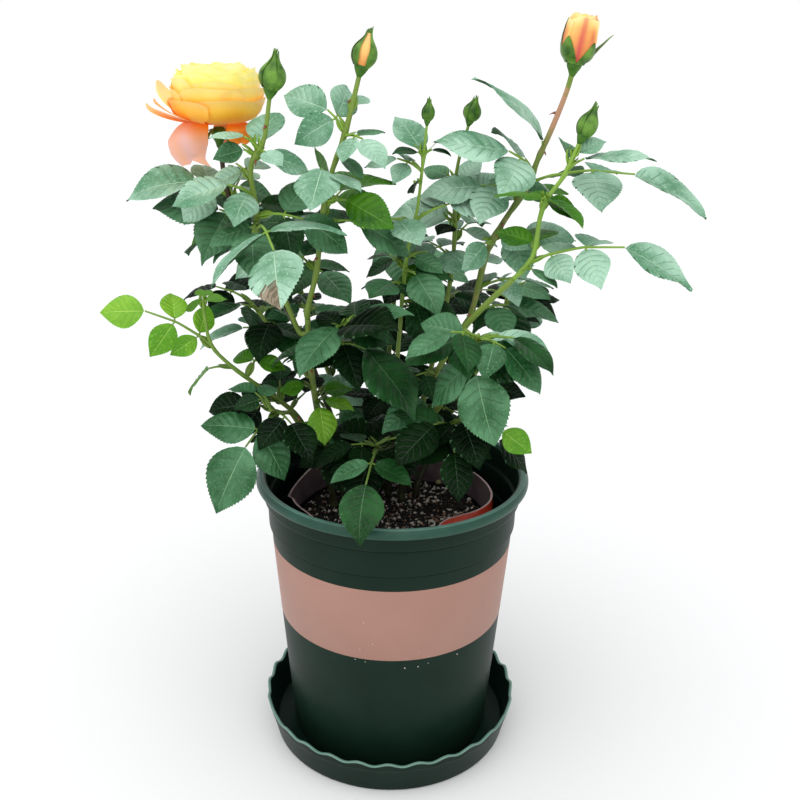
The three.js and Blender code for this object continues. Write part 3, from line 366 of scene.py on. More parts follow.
# Masses of foliage. Shade runs from 0, deep green, to 1, pale blue-green: painted shade deep in
# the crown and painted light out on top of it. Each mass has the leaves that show in the
# photograph, and the rule that deals it further ones.
MASSES = [
    dict(name="bloom", limb="cane_bloom", thick=1.5, thin=1.4, shade=0.55,
         via=[(-93, 10, 340), (-98, 14, 352), (-102, 18, 381)],
         head=dict(kind="bloom", width=68, length=40),
         leaves=[
             shoot(3, 0.56, 190, 22, 62, 3, 42, 30, pairs=0.75),
             shoot(2, 0.36, 190, 24, 52, 3, 40, 28),
             shoot(1, 0.5, 100, 50, 30, 1, 22, 50),
             shoot(4, 0.29, 200, -3, 34, 1, 19, 22),
             leaf(0.5, 80, 30, 46, 3, 26),
             leaf(0.15, 150, -5, 58, 5, 27, 20),
         ],
         deal=deal(3, 11, 0.02, 0.5, 48, 12)),
    dict(name="bud_left", limb="bough_bud_left", thick=1.4, thin=1.2, shade=0.7,
         via=[(-78, -10, 346), (-79, -18, 373), (-72, -20, 384), (-67, -22, 410)],
         head=dict(kind="bud", width=13.6, length=24),
         leaves=[
             {**shoot(3, 0.22, 285, -4, 112, 3, 43, 20, pairs=1.05), "dry": True},
             shoot(2, 0.29, 345, -5, 60, 3, 32, 55),
             shoot(3, 0.69, 184, 38, 30, 1, 19, 22),
             shoot(3, 0.66, 206, 18, 26, 1, 18, 45),
             shoot(3, 0.62, 4, 12, 34, 1, 25, 28),
             shoot(3, 0.68, 300, 2, 26, 1, 16, 20),
             shoot(3, 0.68, 70, 72, 36, 1, 31, -6),
             leaf(0.5, 130, 20, 44, 3, 25),
         ],
         deal=deal(4, 23, 0.02, 0.5, 48, 10)),
    dict(name="bud_centre", limb="cane_bud_centre", thick=1.6, thin=1.3, shade=0.5,
         via=[(-45, -8, 312), (-42, -8, 338), (-37, -8, 364), (-28, -8, 390), (-20, -8, 421)],
         head=dict(kind="bud", width=13.6, length=25),
         leaves=[
             shoot(3, 0.77, 168, 46, 45, 3, 29, 48),
             shoot(3, 0.85, 52, 48, 22, 1, 17, 28),
             shoot(3, 0.76, 315, -6, 37, 3, 22, 22),
             shoot(3, 0.67, 313, 2, 24, 1, 19, 10),
             shoot(4, 0.54, 108, 78, 28, 1, 23, -42),
             shoot(4, 0.51, 6, 30, 40, 1, 32, 9),
             shoot(4, 0.49, 340, 2, 43, 1, 30, 55),
             shoot(1, 0.4, 2, 0, 58, 3, 36, 24, pairs=0.8),
             leaf(0.36, 100, 20, 48, 5, 26),
         ],
         deal=deal(5, 37, 0.02, 0.6, 52, 12)),
    dict(name="low_left", limb="cane_low_left", thick=1.3, thin=0.9, shade=0.3, young=True,
         via=[(-96, -20, 259), (-105, -24, 272), (-108, -26, 295)],
         leaves=[
             shoot(5, 0.62, 190, 27, 70, 5, 26, 60),
             leaf(0.98, 285, 60, 24, 3, 15),
             shoot(4, 0.35, 170, -14, 42, 1, 26),
             shoot(4, 0.2, 62, 30, 42, 3, 22),
         ],
         deal=deal(2, 41, 0.1, 0.5, 40, 20)),
    dict(name="bud_right", limb="cane_bud_right", thick=1.4, thin=1.1, shade=0.8,
         via=[(76, -30, 327), (80, -30, 355), (91, -28, 372), (98, -26, 389)],
         head=dict(kind="bud", width=10, length=22),
         leaves=[
             shoot(3, 0.15, 346, 8, 94, 5, 41, 26, pairs=0.78),
             shoot(2, 0.08, 312, 8, 28, 1, 20, 5),
             shoot(2, 0.83, 92, 52, 25, 1, 20, -25),
             shoot(3, 0.87, 5, 45, 22, 1, 17, 26),
             shoot(3, 0.79, 355, 30, 48, 1, 36, 12),
             leaf(0.5, 60, 30, 34, 3, 20),
         ],
         deal=deal(2, 53, 0.1, 0.6, 40, 14)),
    dict(name="open_bud", limb="cane_open_bud", thick=1.7, thin=1.5, shade=0.75,
         via=[(55, 16, 320), (64, 14, 339), (76, 12, 359), (81, 12, 374), (87, 10, 390),
              (94.6, 10, 412), (97.3, 10, 423)],
         head=dict(kind="bud", width=18, length=30),
         leaves=[
             shoot(3, 0.59, 339, 3, 108, 5, 47, 8, pairs=0.85),
             bowed(0.3, shoot(3, 0.7, 180, 86, 56, 1, 49, 24)),
             shoot(3, 0.63, 198, 32, 62, 3, 42, 36, pairs=0.9),
             shoot(3, 0.34, 228, -14, 32, 1, 24, 60),
             shoot(2, 0.36, 300, 14, 28, 1, 22, 50),
             leaf(0.5, 70, 30, 44, 3, 27),
             leaf(0.14, 20, 5, 52, 5, 25),
         ],
         deal=deal(5, 67, 0.02, 0.62, 50, 12)),
    dict(name="bud_back", limb="cane_bud_back", thick=1.4, thin=0.9, shade=0.7,
         via=[(35, 34, 304), (36, 32, 328), (35, 30, 356), (37, 30, 372), (42, 30, 392)],
         head=dict(kind="bud", width=9.5, length=17),
         leaves=[
             shoot(3, 0.5, 152, 24, 46, 1, 41, 40),
             shoot(2, 0.5, 24, 60, 44, 1, 35, 60),
             shoot(1, 0.46, 238, 30, 24, 1, 18, 10),
             shoot(3, 0.69, 150, 44, 28, 1, 21, 30),
             shoot(3, 0.66, 32, 58, 29, 1, 23, 14),
             leaf(0.3, 130, 15, 54, 5, 30),
             leaf(0.4, 60, 20, 48, 5, 28),
         ],
         deal=deal(6, 71, 0.02, 0.6, 52, 10)),
    dict(name="small_bud", limb="cane_small_bud", thick=1.2, thin=0.7, shade=0.55,
         via=[(6, 14, 308), (9, 10, 331), (12, 10, 342), (15, 6, 370), (17, 4, 394)],
         head=dict(kind="bud", width=6.5, length=15),
         leaves=[
             shoot(3, 0.83, 131, 66, 34, 1, 29, 12),
             shoot(1, 0.84, 212, 30, 22, 1, 17, 14),
             shoot(2, 0.85, 340, 25, 18, 1, 12, 9),
             shoot(3, 0.77, 178, 21, 36, 3, 20, 22),
             shoot(0, 0.71, 253, 0, 26, 1, 14, -30),
             leaf(0.15, 240, 18, 42, 3, 26),
             leaf(0.25, 120, 10, 44, 3, 24),
         ],
         deal=deal(6, 83, 0.02, 0.6, 48, 10)),
    dict(name="left", limb="bough_left", thick=1.3, thin=0.9, shade=0.35,
         via=[(-76, 18, 270), (-88, 24, 284)],
         leaves=[
             shoot(3, 0.3, 185, 4, 50, 3, 30, 15),
             shoot(0, 0.97, 165, 16, 52, 3, 26),
             shoot(1, 0.8, 225, 24, 40, 3, 26),
         ],
         deal=deal(4, 97, 0.1, 0.97, 48, 10)),
    dict(name="centre", limb="bough_centre", thick=1.3, thin=0.9, shade=0.35,
         via=[(-34, -26, 274), (-28, -36, 288)],
         leaves=[
             shoot(1, 0.5, 334, -10, 68, 1, 48, 6),
             shoot(1, 0.86, 305, 40, 49, 1, 44, 16),
             shoot(1, 0.97, 232, 4, 41, 1, 35, 0),
             shoot(2, 0.93, 20, 24, 46, 3, 30),
         ],
         deal=deal(4, 101, 0.2, 0.97, 42, 4)),
    dict(name="right_low", limb="bough_right_low", thick=1.3, thin=0.9, shade=0.5,
         via=[(43, -46, 280), (46, -56, 290)],
         leaves=[
             shoot(2, 0.45, 277, -34, 62, 3, 41, 30),
             shoot(2, 0.85, 330, -14, 50, 3, 32, 5, pairs=0.8),
             shoot(2, 0.62, 173, 36, 34, 1, 26, 50),
             shoot(2, 0.7, 350, 12, 44, 1, 30, 12),
             shoot(1, 0.9, 205, 10, 48, 3, 31),
             shoot(2, 0.66, 324, 8, 54, 1, 28, 12),
         ],
         deal=deal(2, 113, 0.3, 0.97, 44, 0)),
    dict(name="front_low", limb="bough_front_low", thick=1.3, thin=0.9, shade=0.1,
         via=[(-8, -18, 205), (-9, -30, 214)],
         leaves=[
             shoot(1, 0.63, 264, -3, 90, 3, 34, 4, pairs=0.85),
             leaf(0.8, 200, 6, 42, 5, 25),
             shoot(1, 0.97, 350, 14, 46, 3, 27),
         ],
         deal=deal(4, 127, 0.2, 0.97, 44, 12)),
    dict(name="right_inside", limb="bough_right_inside", thick=1.3, thin=0.9, shade=0.1,
         via=[(33, -32, 227), (40, -40, 236)],
         leaves=[
             shoot(0, 0.3, 282, -18, 56, 3, 30, 6),
             leaf(0.7, 346, -22, 56, 3, 28),
             shoot(5, 0.97, 327, -10, 47, 3, 20, 35, pairs=0.8),
         ],
         deal=deal(4, 131, 0.2, 0.97, 46, 4)),
    dict(name="lower_left", limb="bough_lower_left", thick=1.3, thin=0.9, shade=0.3,
         via=[(-67, -22, 230), (-71, -34, 236)],
         leaves=[
             shoot(2, 0.5, 240, -24, 73, 3, 39, 40),
             shoot(0, 0.7, 176, 8, 42, 3, 25, 40),
             shoot(2, 0.97, 150, 34, 34, 3, 20),
         ],
         deal=deal(2, 149, 0.2, 0.97, 44, 5)),
    dict(name="back_left", limb="cane_back_left", thick=1.4, thin=0.9, shade=0.5,
         via=[(-66, 94, 282), (-70, 98, 312)],
         leaves=[leaf(0.97, 110, 40, 44, 5, 26)],
         deal=deal(8, 157, 0.02, 0.95, 56, 8)),
    dict(name="back", limb="cane_back", thick=1.4, thin=0.9, shade=0.45,
         via=[(0, 102, 285), (2, 106, 308)],
         leaves=[leaf(0.97, 70, 30, 40, 5, 26)],
         deal=deal(8, 163, 0.02, 0.95, 56, 2)),
    dict(name="back_right", limb="cane_back_right", thick=1.4, thin=0.9, shade=0.55,
         via=[(72, 80, 258), (76, 84, 278)],
         leaves=[leaf(0.97, 30, 20, 42, 5, 26)],
         deal=deal(9, 173, 0.02, 0.95, 54, 0)),
]


# Openings that dealt leaves keep clear of: x, height and radius. One can see right through
# most of them, and through the last one to the young leaves of a low shoot.
OPENINGS = [
    (25, 329, 6), (-20, 318, 6.5), (-17, 303, 8), (90, 314, 5), (103, 303, 9), (80, 252, 6),
    (-111, 247, 7), (-125, 247, 8), (-91, 369, 4), (-69, 366, 4), (-111, 321, 4.5), (73, 344, 4.5),
    (115, 346, 5.5), (-11, 241, 4), (-44, 223, 8),
]

# Leaves that show on the canes themselves, by cane
EXTRA = {
    "cane_bud_centre": [
        shoot(5, 0.61, 302, -34, 30, 1, 24, 0),
        shoot(5, 0.6, 345, 16, 26, 1, 20, 15),
        shoot(4, 0.62, 25, 26, 26, 1, 20, 15),
        shoot(4, 0.5, 250, 6, 26, 1, 19, 5),
        shoot(4, 0.66, 200, 24, 24, 1, 17, 20),
    ],
    "cane_low_left": [
        shoot(1, 0.85, 100, 40, 34, 3, 19),
    ],
}


# Runs


def smooth_run(points, steps):
    """Points along a centripetal Catmull-Rom curve, with so many steps to each span."""
    points = [np.asarray(point, float) for point in points]
    before = 2 * points[0] - points[1]
    after = 2 * points[-1] - points[-2]
    padded = [before, *points, after]
    run = []
    for i in range(len(points) - 1):
        p0, p1, p2, p3 = padded[i:i + 4]
        gaps = [max(np.linalg.norm(b - a), TINY) ** 0.5 for a, b in ((p0, p1), (p1, p2), (p2, p3))]
        start = ((p1 - p0) / gaps[0] - (p2 - p0) / (gaps[0] + gaps[1]) + (p2 - p1) / gaps[1]) * gaps[1]
        end = ((p2 - p1) / gaps[1] - (p3 - p1) / (gaps[1] + gaps[2]) + (p3 - p2) / gaps[2]) * gaps[1]
        for k in range(steps):
            t = k / steps
            square = -3 * p1 + 3 * p2 - 2 * start - end
            cube = 2 * p1 - 2 * p2 + start + end
            run.append(p1 + start * t + square * t ** 2 + cube * t ** 3)
    run.append(points[-1])
    return run


def run_steps(run):
    return [np.linalg.norm(b - a) for a, b in zip(run, run[1:])]


def passed_lengths(run):
    """How far along a run each of its points lies."""
    return np.concatenate([[0], np.cumsum(run_steps(run))])


def place_on_run(run, share):
    """The point and the direction at a share of a run's length."""
    steps = run_steps(run)
    left = share * sum(steps)
    for i, step in enumerate(steps):
        if left <= step or i == len(steps) - 1:
            along = unit(run[i + 1] - run[i])
            return run[i] + along * min(left, step), along
        left -= step


def taper(run, thick, thin, flare=0):
    passed = passed_lengths(run)
    plain = thick + (thin - thick) * passed / passed[-1]
    return plain * (1 + flare * np.clip(1 - passed / FLARE_HEIGHT, 0, None) ** 2)


def start_clear(carrier, share=None, towards=None):
    """Where a limb starts: just clear of the tip or of the side of the one that carries it."""
    if share is None:
        point, along = place_on_run(carrier["run"], 1)
        return [point + along * SEAT, point + along * (SEAT + TIP_STRAIGHT)]
    point, along = place_on_run(carrier["run"], share)
    out = towards - point
    out = unit(out - along * (out @ along))
    radius = carrier["thick"] + (carrier["thin"] - carrier["thick"]) * share
    return [point + out * (radius + SEAT), point + out * (radius + SEAT + SIDE_STRAIGHT)]


# Room taken by what has grown


class Room:
    """Rods and blades that have grown, and the test of whether a new one is clear of them."""

    def __init__(self):
        self.items = []
        self.centres = np.zeros((0, 3))
        self.reaches = np.zeros(0)
        self.radii = np.zeros(0)
        self.openings = []

    def add(self, items):
        self.items += items
        self.centres = np.vstack([self.centres, *[item["centre"][None] for item in items]])
        self.reaches = np.append(self.reaches, [item["reach"] for item in items])
        self.radii = np.append(self.radii, [item["radius"] for item in items])

    def drop(self, count):
        """Forgets all but the first so many."""
        self.items = self.items[:count]
        self.centres = self.centres[:count]
        self.reaches = self.reaches[:count]
        self.radii = self.radii[:count]

    def is_clear(self, item, own=()):
        rods = self.radii + item["radius"]
        clearance = np.where(rods > 0, rods + ROD_CLEARANCE, BLADE_CLEARANCE)
        gap = np.linalg.norm(self.centres - item["centre"], axis=1)
        near = np.nonzero(gap <= self.reaches + item["reach"] + clearance)[0]
        if any(touches(item, self.items[i]) for i in near):
            return False
        return not any(touches(item, other) for other in own)


def bounded(owner, points, edges, faces, radius):
    low, high = np.min(points, 0), np.max(points, 0)
    reach = np.linalg.norm(high - low) / 2 + radius
    triangles = np.array(faces, float).reshape(-1, 3, 3)
    return dict(owner=owner, edges=np.array(edges, float), faces=triangles, radius=radius,
                centre=(low + high) / 2, reach=reach)


def rod_item(owner, a, b, radius):
    return bounded(owner, [a, b], [(a, b)], [], radius)


def run_items(owner, run, radii):
    return [rod_item(owner, a, b, radius) for a, b, radius in zip(run, run[1:], radii)]


def dots(a, b):
    return (a * b).sum(-1)


def edge_gaps(one, other):
    """The shortest distance between each edge of one and each edge of the other."""
    a, c = one[:, None, 0], other[None, :, 0]
    u, v, w = one[:, None, 1] - a, other[None, :, 1] - c, a - c
    uu, uv, vv, uw, vw = dots(u, u), dots(u, v), dots(v, v), dots(u, w), dots(v, w)
    spread_out = uu * vv - uv * uv
    flat = spread_out <= TINY
    s = np.clip((uv * vw - vv * uw) / np.where(flat, 1, spread_out), 0, 1)
    s = np.where(flat, 0, s)
    t = np.clip((uv * s + vw) / vv, 0, 1)
    s = np.clip((uv * t - uw) / uu, 0, 1)
    return np.linalg.norm(a + u * s[..., None] - c - v * t[..., None], axis=-1)


def pierces(edges, faces):
    """Whether any edge, drawn out a little at both ends, passes through any face."""
    if len(faces) == 0:
        return False
    along = edges[:, 1] - edges[:, 0]
    length = np.linalg.norm(along, axis=1, keepdims=True)
    along = along / length
    start = (edges[:, 0] - EDGE_OVERRUN * along)[:, None]
    along = along[:, None]
    corner = faces[None, :, 0]
    first, second = faces[None, :, 1] - corner, faces[None, :, 2] - corner
    side = np.cross(along, second)
    scale = dots(first, side)
    usable = np.abs(scale) >= TINY
    scale = np.where(usable, scale, 1)
    away = start - corner
    u = dots(away, side) / scale
    twisted = np.cross(away, first)
    v = dots(along, twisted) / scale
    distance = dots(second, twisted) / scale
    inside = (u >= 0) & (v >= 0) & (u + v <= 1) & (distance >= 0)
    inside &= distance <= length + 2 * EDGE_OVERRUN
    return bool((usable & inside).any())


def touches(one, other):
    rods = one["radius"] + other["radius"]
    clearance = rods + ROD_CLEARANCE if rods > 0 else BLADE_CLEARANCE
    gap = np.linalg.norm(one["centre"] - other["centre"])
    if gap > one["reach"] + other["reach"] + clearance:
        return False
    if one["owner"] != other["owner"] and (edge_gaps(one["edges"], other["edges"]) < clearance).any():
        return True
    return pierces(one["edges"], other["faces"]) or pierces(other["edges"], one["faces"])


# The rule that grows leaves


def leaflet_item(owner, leaflet):
    """What a leaflet takes up: the plain blade that stands for it in the tests of free room."""
    along, across, length = leaflet["along"], leaflet["across"], leaflet["length"]
    up = np.cross(across, along)
    half_width = length * LEAFLET_HALF_WIDTH

    def place(far, side, lift):
        level = leaflet["base"] + along * far * length + across * side * half_width
        return level + up * (lift - leaflet["droop"] * far ** 2 * length)

    rim = [place(far, side, LEAFLET_FOLD * half_width * abs(side)) for far, side in LEAFLET_RIM]
    middle = place(LEAFLET_MIDDLE, 0, 0)
    points = [leaflet["base"] + along * LEAFLET_START, *rim]
    edges, faces = [], []
    for k, point in enumerate(points):
        following = points[(k + 1) % len(points)]
        edges += [(point, following), (point, middle)]
        faces.append((middle, point, following))
    return bounded(owner, points, edges, faces, 0)


def grow_leaf(room, owner, base, plan, random):
    """A leaf at a point, as its stalk's rings and its leaflets, or None where there is no room."""
    shares = STALK_RINGS[plan["leaflets"]]
    stalk_length = max(plan["length"] - plan["size"], SHORTEST_STALK)
    ways = [direction(plan["heading"], plan["rise"] + STALK_SAG * (0.5 - share)) for share in shares]
    centres = [base]
    for i in range(1, len(shares)):
        centres.append(centres[-1] + ways[i - 1] * (shares[i] - shares[i - 1]) * stalk_length)
    stalk = run_items(owner, centres, [STALK_RADIUS] * len(centres))
    if not all(room.is_clear(item) for item in stalk):
        return None

    facing = math.cos(math.radians(plan["heading"]))
    lean = plan["lean"] * (1 if facing > 0 else -1)
    level = direction(plan["heading"] - 90, 0)
    across = [turned(level, way, lean) for way in ways]
    above = [np.cross(side, way) for side, way in zip(across, ways)]
    own = []
    leaflets = []

    def leaflet_at(ring, turn, share, dip):
        centre = (centres[ring] + centres[min(ring + 1, len(centres) - 1)]) / 2
        out = turned(ways[ring], above[ring], turn + spread(random, TURN_SPREAD))
        width = np.cross(out, above[ring])
        out = turned(out, width, -(dip + spread(random, DIP_SPREAD)))
        width = turned(width, out, spread(random, TILT_SPREAD))
        if plan.get("to_light"):
            out, width = turned_to_light(out, width, plan["to_light"])
        leaflet = dict(base=centre, along=out, across=width,
                       length=plan["size"] * share * (1 + spread(random, SIZE_SPREAD)),
                       droop=plan.get("droop", LEAFLET_DROOP) + DROOP_SPREAD * random(), last=turn == 0)
        item = leaflet_item(owner, leaflet)
        if plan.get("to_light") and any(touches(item, opening) for opening in room.openings):
            return
        if room.is_clear(item, own):
            own.append(item)
            leaflets.append(leaflet)

    leaflet_at(len(shares) - 1, 0, 1, END_DIP)
    for order, ring in enumerate(reversed(PAIR_STARTS[plan["leaflets"]])):
        for turn in (-PAIR_TURN, PAIR_TURN):
            leaflet_at(ring, turn, plan["pairs"] * PAIR_SIZES[order], PAIR_DIP)
    if len(leaflets) * 2 <= plan["leaflets"]:
        return None
    room.add(stalk + own)
    return dict(centres=centres, ways=ways, across=across, above=above, leaflets=leaflets)


def turned_to_light(along, across, most):
    """A leaflet's directions, turned so that its upper face looks more towards the light."""
    up = np.cross(across, along)
    light = unit(vector(*LIGHT))
    axis = np.cross(up, light)
    size = np.linalg.norm(axis)
    if size < TINY:
        return along, across
    turn = min(math.degrees(math.atan2(size, up @ light)), most)
    return turned(along, axis / size, turn), turned(across, axis / size, turn)


def grow_on(room, owner, run, plan, random):
    """A leaf at its share of a run, or None where there is no room."""
    base = place_on_run(run, plan["share"])[0]
    grown = grow_leaf(room, owner, base, plan, random)
    if grown:
        grown.update(base=base, share=plan["share"], dry=plan.get("dry", False), tone=plan.get("tone"))
    return grown


def dealt_plan(rule, index, attempt, random):
    """A leaf dealt round the stem by the golden angle."""
    return dict(
        share=rule["start"] + (rule["end"] - rule["start"]) * (index + random()) / rule["count"],
        heading=GOLDEN_ANGLE * index + spread(random, HEADING_SPREAD) + RETRY_TURN * attempt,
        rise=rule["rise"] + spread(random, RISE_SPREAD),
        length=rule["length"] * (1 + spread(random, LENGTH_SPREAD)),
        leaflets=5 if random() < FIVE_SHARE else 3,
        size=LEAFLET_LENGTH * chance(random, DEALT_SIZE),
        lean=spread(random, LEAN_SPREAD),
        pairs=1,
        to_light=LIGHT_TURN,
    )


def head_items(mass):
    """The room that a bud or the bloom takes."""
    tip, along = place_on_run(mass["run"], 1)
    head, owner = mass["plan"]["head"], mass["owner"]
    if head["kind"] == "bud":
        return [rod_item(owner, tip, tip + along * head["length"], 0.5 * head["width"])]
    centre = tip + vector(-4, 0, 0)
    low, high = centre + UP * 0.45 * head["length"], centre + UP * 0.6 * head["length"]
    hanging = centre + direction(205, 0) * 0.2 * head["width"] + UP * 0.16 * head["length"]
    end = hanging + direction(246, -58) * 0.4 * head["width"]
    return [
        rod_item(owner, low, high, head["width"] / 2),
        rod_item(owner, hanging, end, 0.16 * head["width"]),
    ]


def grow_plant():
    """Every limb, every mass with its leaves, and the leaves on the canes themselves. The leaves
    that the photograph shows grow first, and those that are dealt out give way to them."""
    room = Room()
    for x, height, radius in OPENINGS:
        sight = unit(vector(x, 0, height) - vector(*CAMERA_PLACE))
        near, far = [vector(x, 0, height) + sight * away for away in OPENING_ENDS]
        room.openings.append(rod_item("opening", near, far, radius))
    limbs = {}

    def add_limb(label, start, plan, flare):
        run = smooth_run([*start, *plan["via"]], CANE_STEPS)
        limbs[label] = dict(run=run, thick=plan["thick"], thin=plan["thin"], flare=flare)
        room.add(run_items(label, run, taper(run, plan["thick"], plan["thin"], flare)))

    for plan in CANES:
        foot = vector(*plan["foot"], MIX_TOP + SEAT)
        add_limb("cane_" + plan["name"], [foot, foot + UP * FOOT_STRAIGHT], plan, FLARE)
    for plan in BOUGHS:
        start = start_clear(limbs["cane_" + plan["cane"]], plan["share"], vector(*plan["via"][0]))
        add_limb("bough_" + plan["name"], start, plan, 0)
        limbs["bough_" + plan["name"]]["carrier"] = ("cane_" + plan["cane"], plan["share"])

    masses = []
    for plan in MASSES:
        run = smooth_run([*start_clear(limbs[plan["limb"]]), *plan["via"]], STEM_STEPS)
        mass = dict(owner="foliage_" + plan["name"], plan=plan, run=run, leaves=[])
        room.add(run_items(mass["owner"], run, taper(run, plan["thick"], plan["thin"])))
        if "head" in plan:
            room.add(head_items(mass))
        masses.append(mass)

    def add_leaf(mass, plan, random):
        grown = grow_on(room, mass["owner"], mass["run"], plan, random)
        if grown:
            mass["leaves"].append(grown)
        return bool(grown)

    for mass in masses:
        random = seeded(mass["plan"]["deal"]["seed"])
        for plan in mass["plan"]["leaves"]:
            add_leaf(mass, plan, random)
    low = grow_extra(room, limbs)
    draws = [seeded(mass["plan"]["deal"]["seed"] + DEAL_SEED) for mass in masses]
    for index in range(max(plan["deal"]["count"] for plan in MASSES)):
        for mass, random in zip(masses, draws):
            rule = mass["plan"]["deal"]
            if index < rule["count"]:
                for attempt in range(LEAF_TRIES):
                    if add_leaf(mass, dealt_plan(rule, index, attempt, random), random):
                        break
    low += grow_low_leaves(room, limbs)
    return limbs, masses, low


def is_in_pot(item):
    """Whether something would touch the pot's rim or sink to the mix."""
    points = item["edges"].reshape(-1, 3)
    radius = np.hypot(points[:, 0], points[:, 1])
    at_wall = (points[:, 2] < POT_TOP + LIP_CLEARANCE) & (radius > LIP_INNER_RADIUS - POT_CLEARANCE)
    return bool((at_wall | (points[:, 2] < MIX_TOP + POT_CLEARANCE)).any())


def grow_extra(room, limbs):
    """The leaves that the photograph shows on the canes themselves."""
    leaves = []
    for label, plans in EXTRA.items():
        random = seeded(EXTRA_SEED)
        grown = [grow_on(room, label, limbs[label]["run"], plan, random) for plan in plans]
        leaves += [leaf_made for leaf_made in grown if leaf_made]
    return leaves


def grow_low_leaves(room, limbs):
    """Short leaves on the lower canes, which the solids leave to the scene."""
    leaves = []
    canes = [(label, limb) for label, limb in limbs.items() if label.startswith("cane")]
    draws = [seeded(LOW_SEED + number) for number in range(len(canes))]
    for index in range(LOW_COUNT):
        for (label, limb), random in zip(canes, draws):
            tall = limb["run"][-1][2] - MIX_TOP
            start, end = (LOW_FROM - MIX_TOP) / tall, (LOW_TO - MIX_TOP) / tall
            rule = deal(LOW_COUNT, 0, start, end, LOW_LENGTH, LOW_RISE)
            for attempt in range(LEAF_TRIES):
                plan = dealt_plan(rule, index, attempt, random)
                plan["size"] *= LOW_SIZE
                before = len(room.items)
                grown = grow_on(room, label, limb["run"], plan, random)
                if grown and any(is_in_pot(item) for item in room.items[before:]):
                    room.drop(before)
                elif grown:
                    leaves.append(grown)
                    break
    return leaves


# Meshes


class Store:
    """Points and faces of one piece, each face with its place in the list of materials."""

    def __init__(self):
        self.points = []
        self.faces = []
        self.slots = []
        self.tints = []
        self.count = 0

    def add(self, points, faces, slot, tints=None):
        """Faces count from this call's first point. Slot is one number or one for each face."""
        points = np.asarray(points, float).reshape(-1, 3)
        self.points.append(points)
        self.faces += [[corner + self.count for corner in face] for face in faces]
        self.slots += [slot] * len(faces) if isinstance(slot, int) else list(slot)
        self.tints.append(np.zeros((len(points), 2)) if tints is None else np.asarray(tints, float))
        self.count += len(points)


def add_object(name, data):
    thing = bpy.data.objects.new(name, data)
    bpy.context.scene.collection.objects.link(thing)
    return thing


def make_piece(name, store, materials, replaced=(), sharp=None):
    """One object of the store's faces, riding with the plant. Sharp is an angle in degrees."""
    mesh = bpy.data.meshes.new(name)
    mesh.from_pydata((np.concatenate(store.points) * MM).tolist(), [], store.faces)
    for material in materials:
        mesh.materials.append(material)
    mesh.polygons.foreach_set("material_index", store.slots)
    mesh.polygons.foreach_set("use_smooth", [True] * len(mesh.polygons))
    tints = np.concatenate(store.tints)
    if tints.any():
        for column, label in enumerate(("warm", "blush")):
            attribute = mesh.attributes.new(label, "FLOAT", "POINT")
            attribute.data.foreach_set("value", tints[:, column].astype(np.float32))
    if sharp:
        mesh.set_sharp_from_angle(angle=math.radians(sharp))
    mesh.update()
    piece = add_object(name, mesh)
    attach(piece, "root")
    if replaced:
        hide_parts(*replaced)


def grid_faces(rows, columns, around=False):
    """Quads over a grid of points counted row by row, which may close on itself across."""
    faces = []
    for row in range(rows - 1):
        for column in range(columns if around else columns - 1):
            following = (column + 1) % columns
            low, high = row * columns, (row + 1) * columns
            faces.append([low + column, low + following, high + following, high + column])
    return faces


def tube_faces(rings, sides):
    """The wall of a tube of rings, and a face across each of its ends."""
    start = list(range(sides))[::-1]
    end = [(rings - 1) * sides + k for k in range(sides)]
    return grid_faces(rings, sides, around=True) + [start, end]


def laid_out(base, *ways):
    """A grid of points: a base, and how far each point lies from it along each direction."""
    points = base
    for way, far in ways:
        points = points + way * far[..., None]
    return points


def add_tube(store, centres, radii, sides, slot, relief=0, seed=0):
    """A closed tube along its centres. Relief roughens it by that share of its radius."""
    random = seeded(seed)
    waves = [(1 + int(3 * random()), spread(random, 0.9), chance(random, PHASE)) for _ in range(4)]
    points = []
    across = None
    last = len(centres) - 1
    for i, (centre, radius) in enumerate(zip(centres, radii)):
        along = unit(centres[min(i + 1, last)] - centres[max(i - 1, 0)])
        if across is None:
            across = vector(1, 0, 0) if abs(along[2]) > 0.9 else UP
        across = unit(across - along * (across @ along))
        over = np.cross(along, across)
        for k in range(sides):
            angle = 2 * math.pi * k / sides
            rough = sum(math.sin(count * angle + turn * i + phase) for count, turn, phase in waves) / 4
            reach = radius * (1 + relief * rough)
            points.append(centre + (across * math.cos(angle) + over * math.sin(angle)) * reach)
    store.add(points, tube_faces(len(centres), sides), slot)


def add_blade(store, grid, normals, thickness, slots, under_slot, tints=None):
    """A thin closed blade over a grid of points, whose underside shares the edge of its top.
    Slots is one number, or an array of one for each face of the top."""
    rows, columns = grid.shape[:2]
    top = grid.reshape(-1, 3)
    under = (grid - normals * thickness).reshape(-1, 3)
    inner = np.zeros((rows, columns), bool)
    inner[1:-1, 1:-1] = True
    inner = inner.ravel()
    moved = np.arange(rows * columns)
    moved[inner] = rows * columns + np.arange(inner.sum())
    faces = grid_faces(rows, columns)
    below = [[int(moved[corner]) for corner in reversed(face)] for face in faces]
    slot_list = np.broadcast_to(slots, (rows - 1, columns - 1)).ravel().tolist()
    all_tints = None
    if tints is not None:
        flat = tints.reshape(-1, tints.shape[-1])
        all_tints = np.vstack([flat, flat[inner]])
    all_slots = slot_list + [under_slot] * len(below)
    store.add(np.vstack([top, under[inner]]), faces + below, all_slots, all_tints)
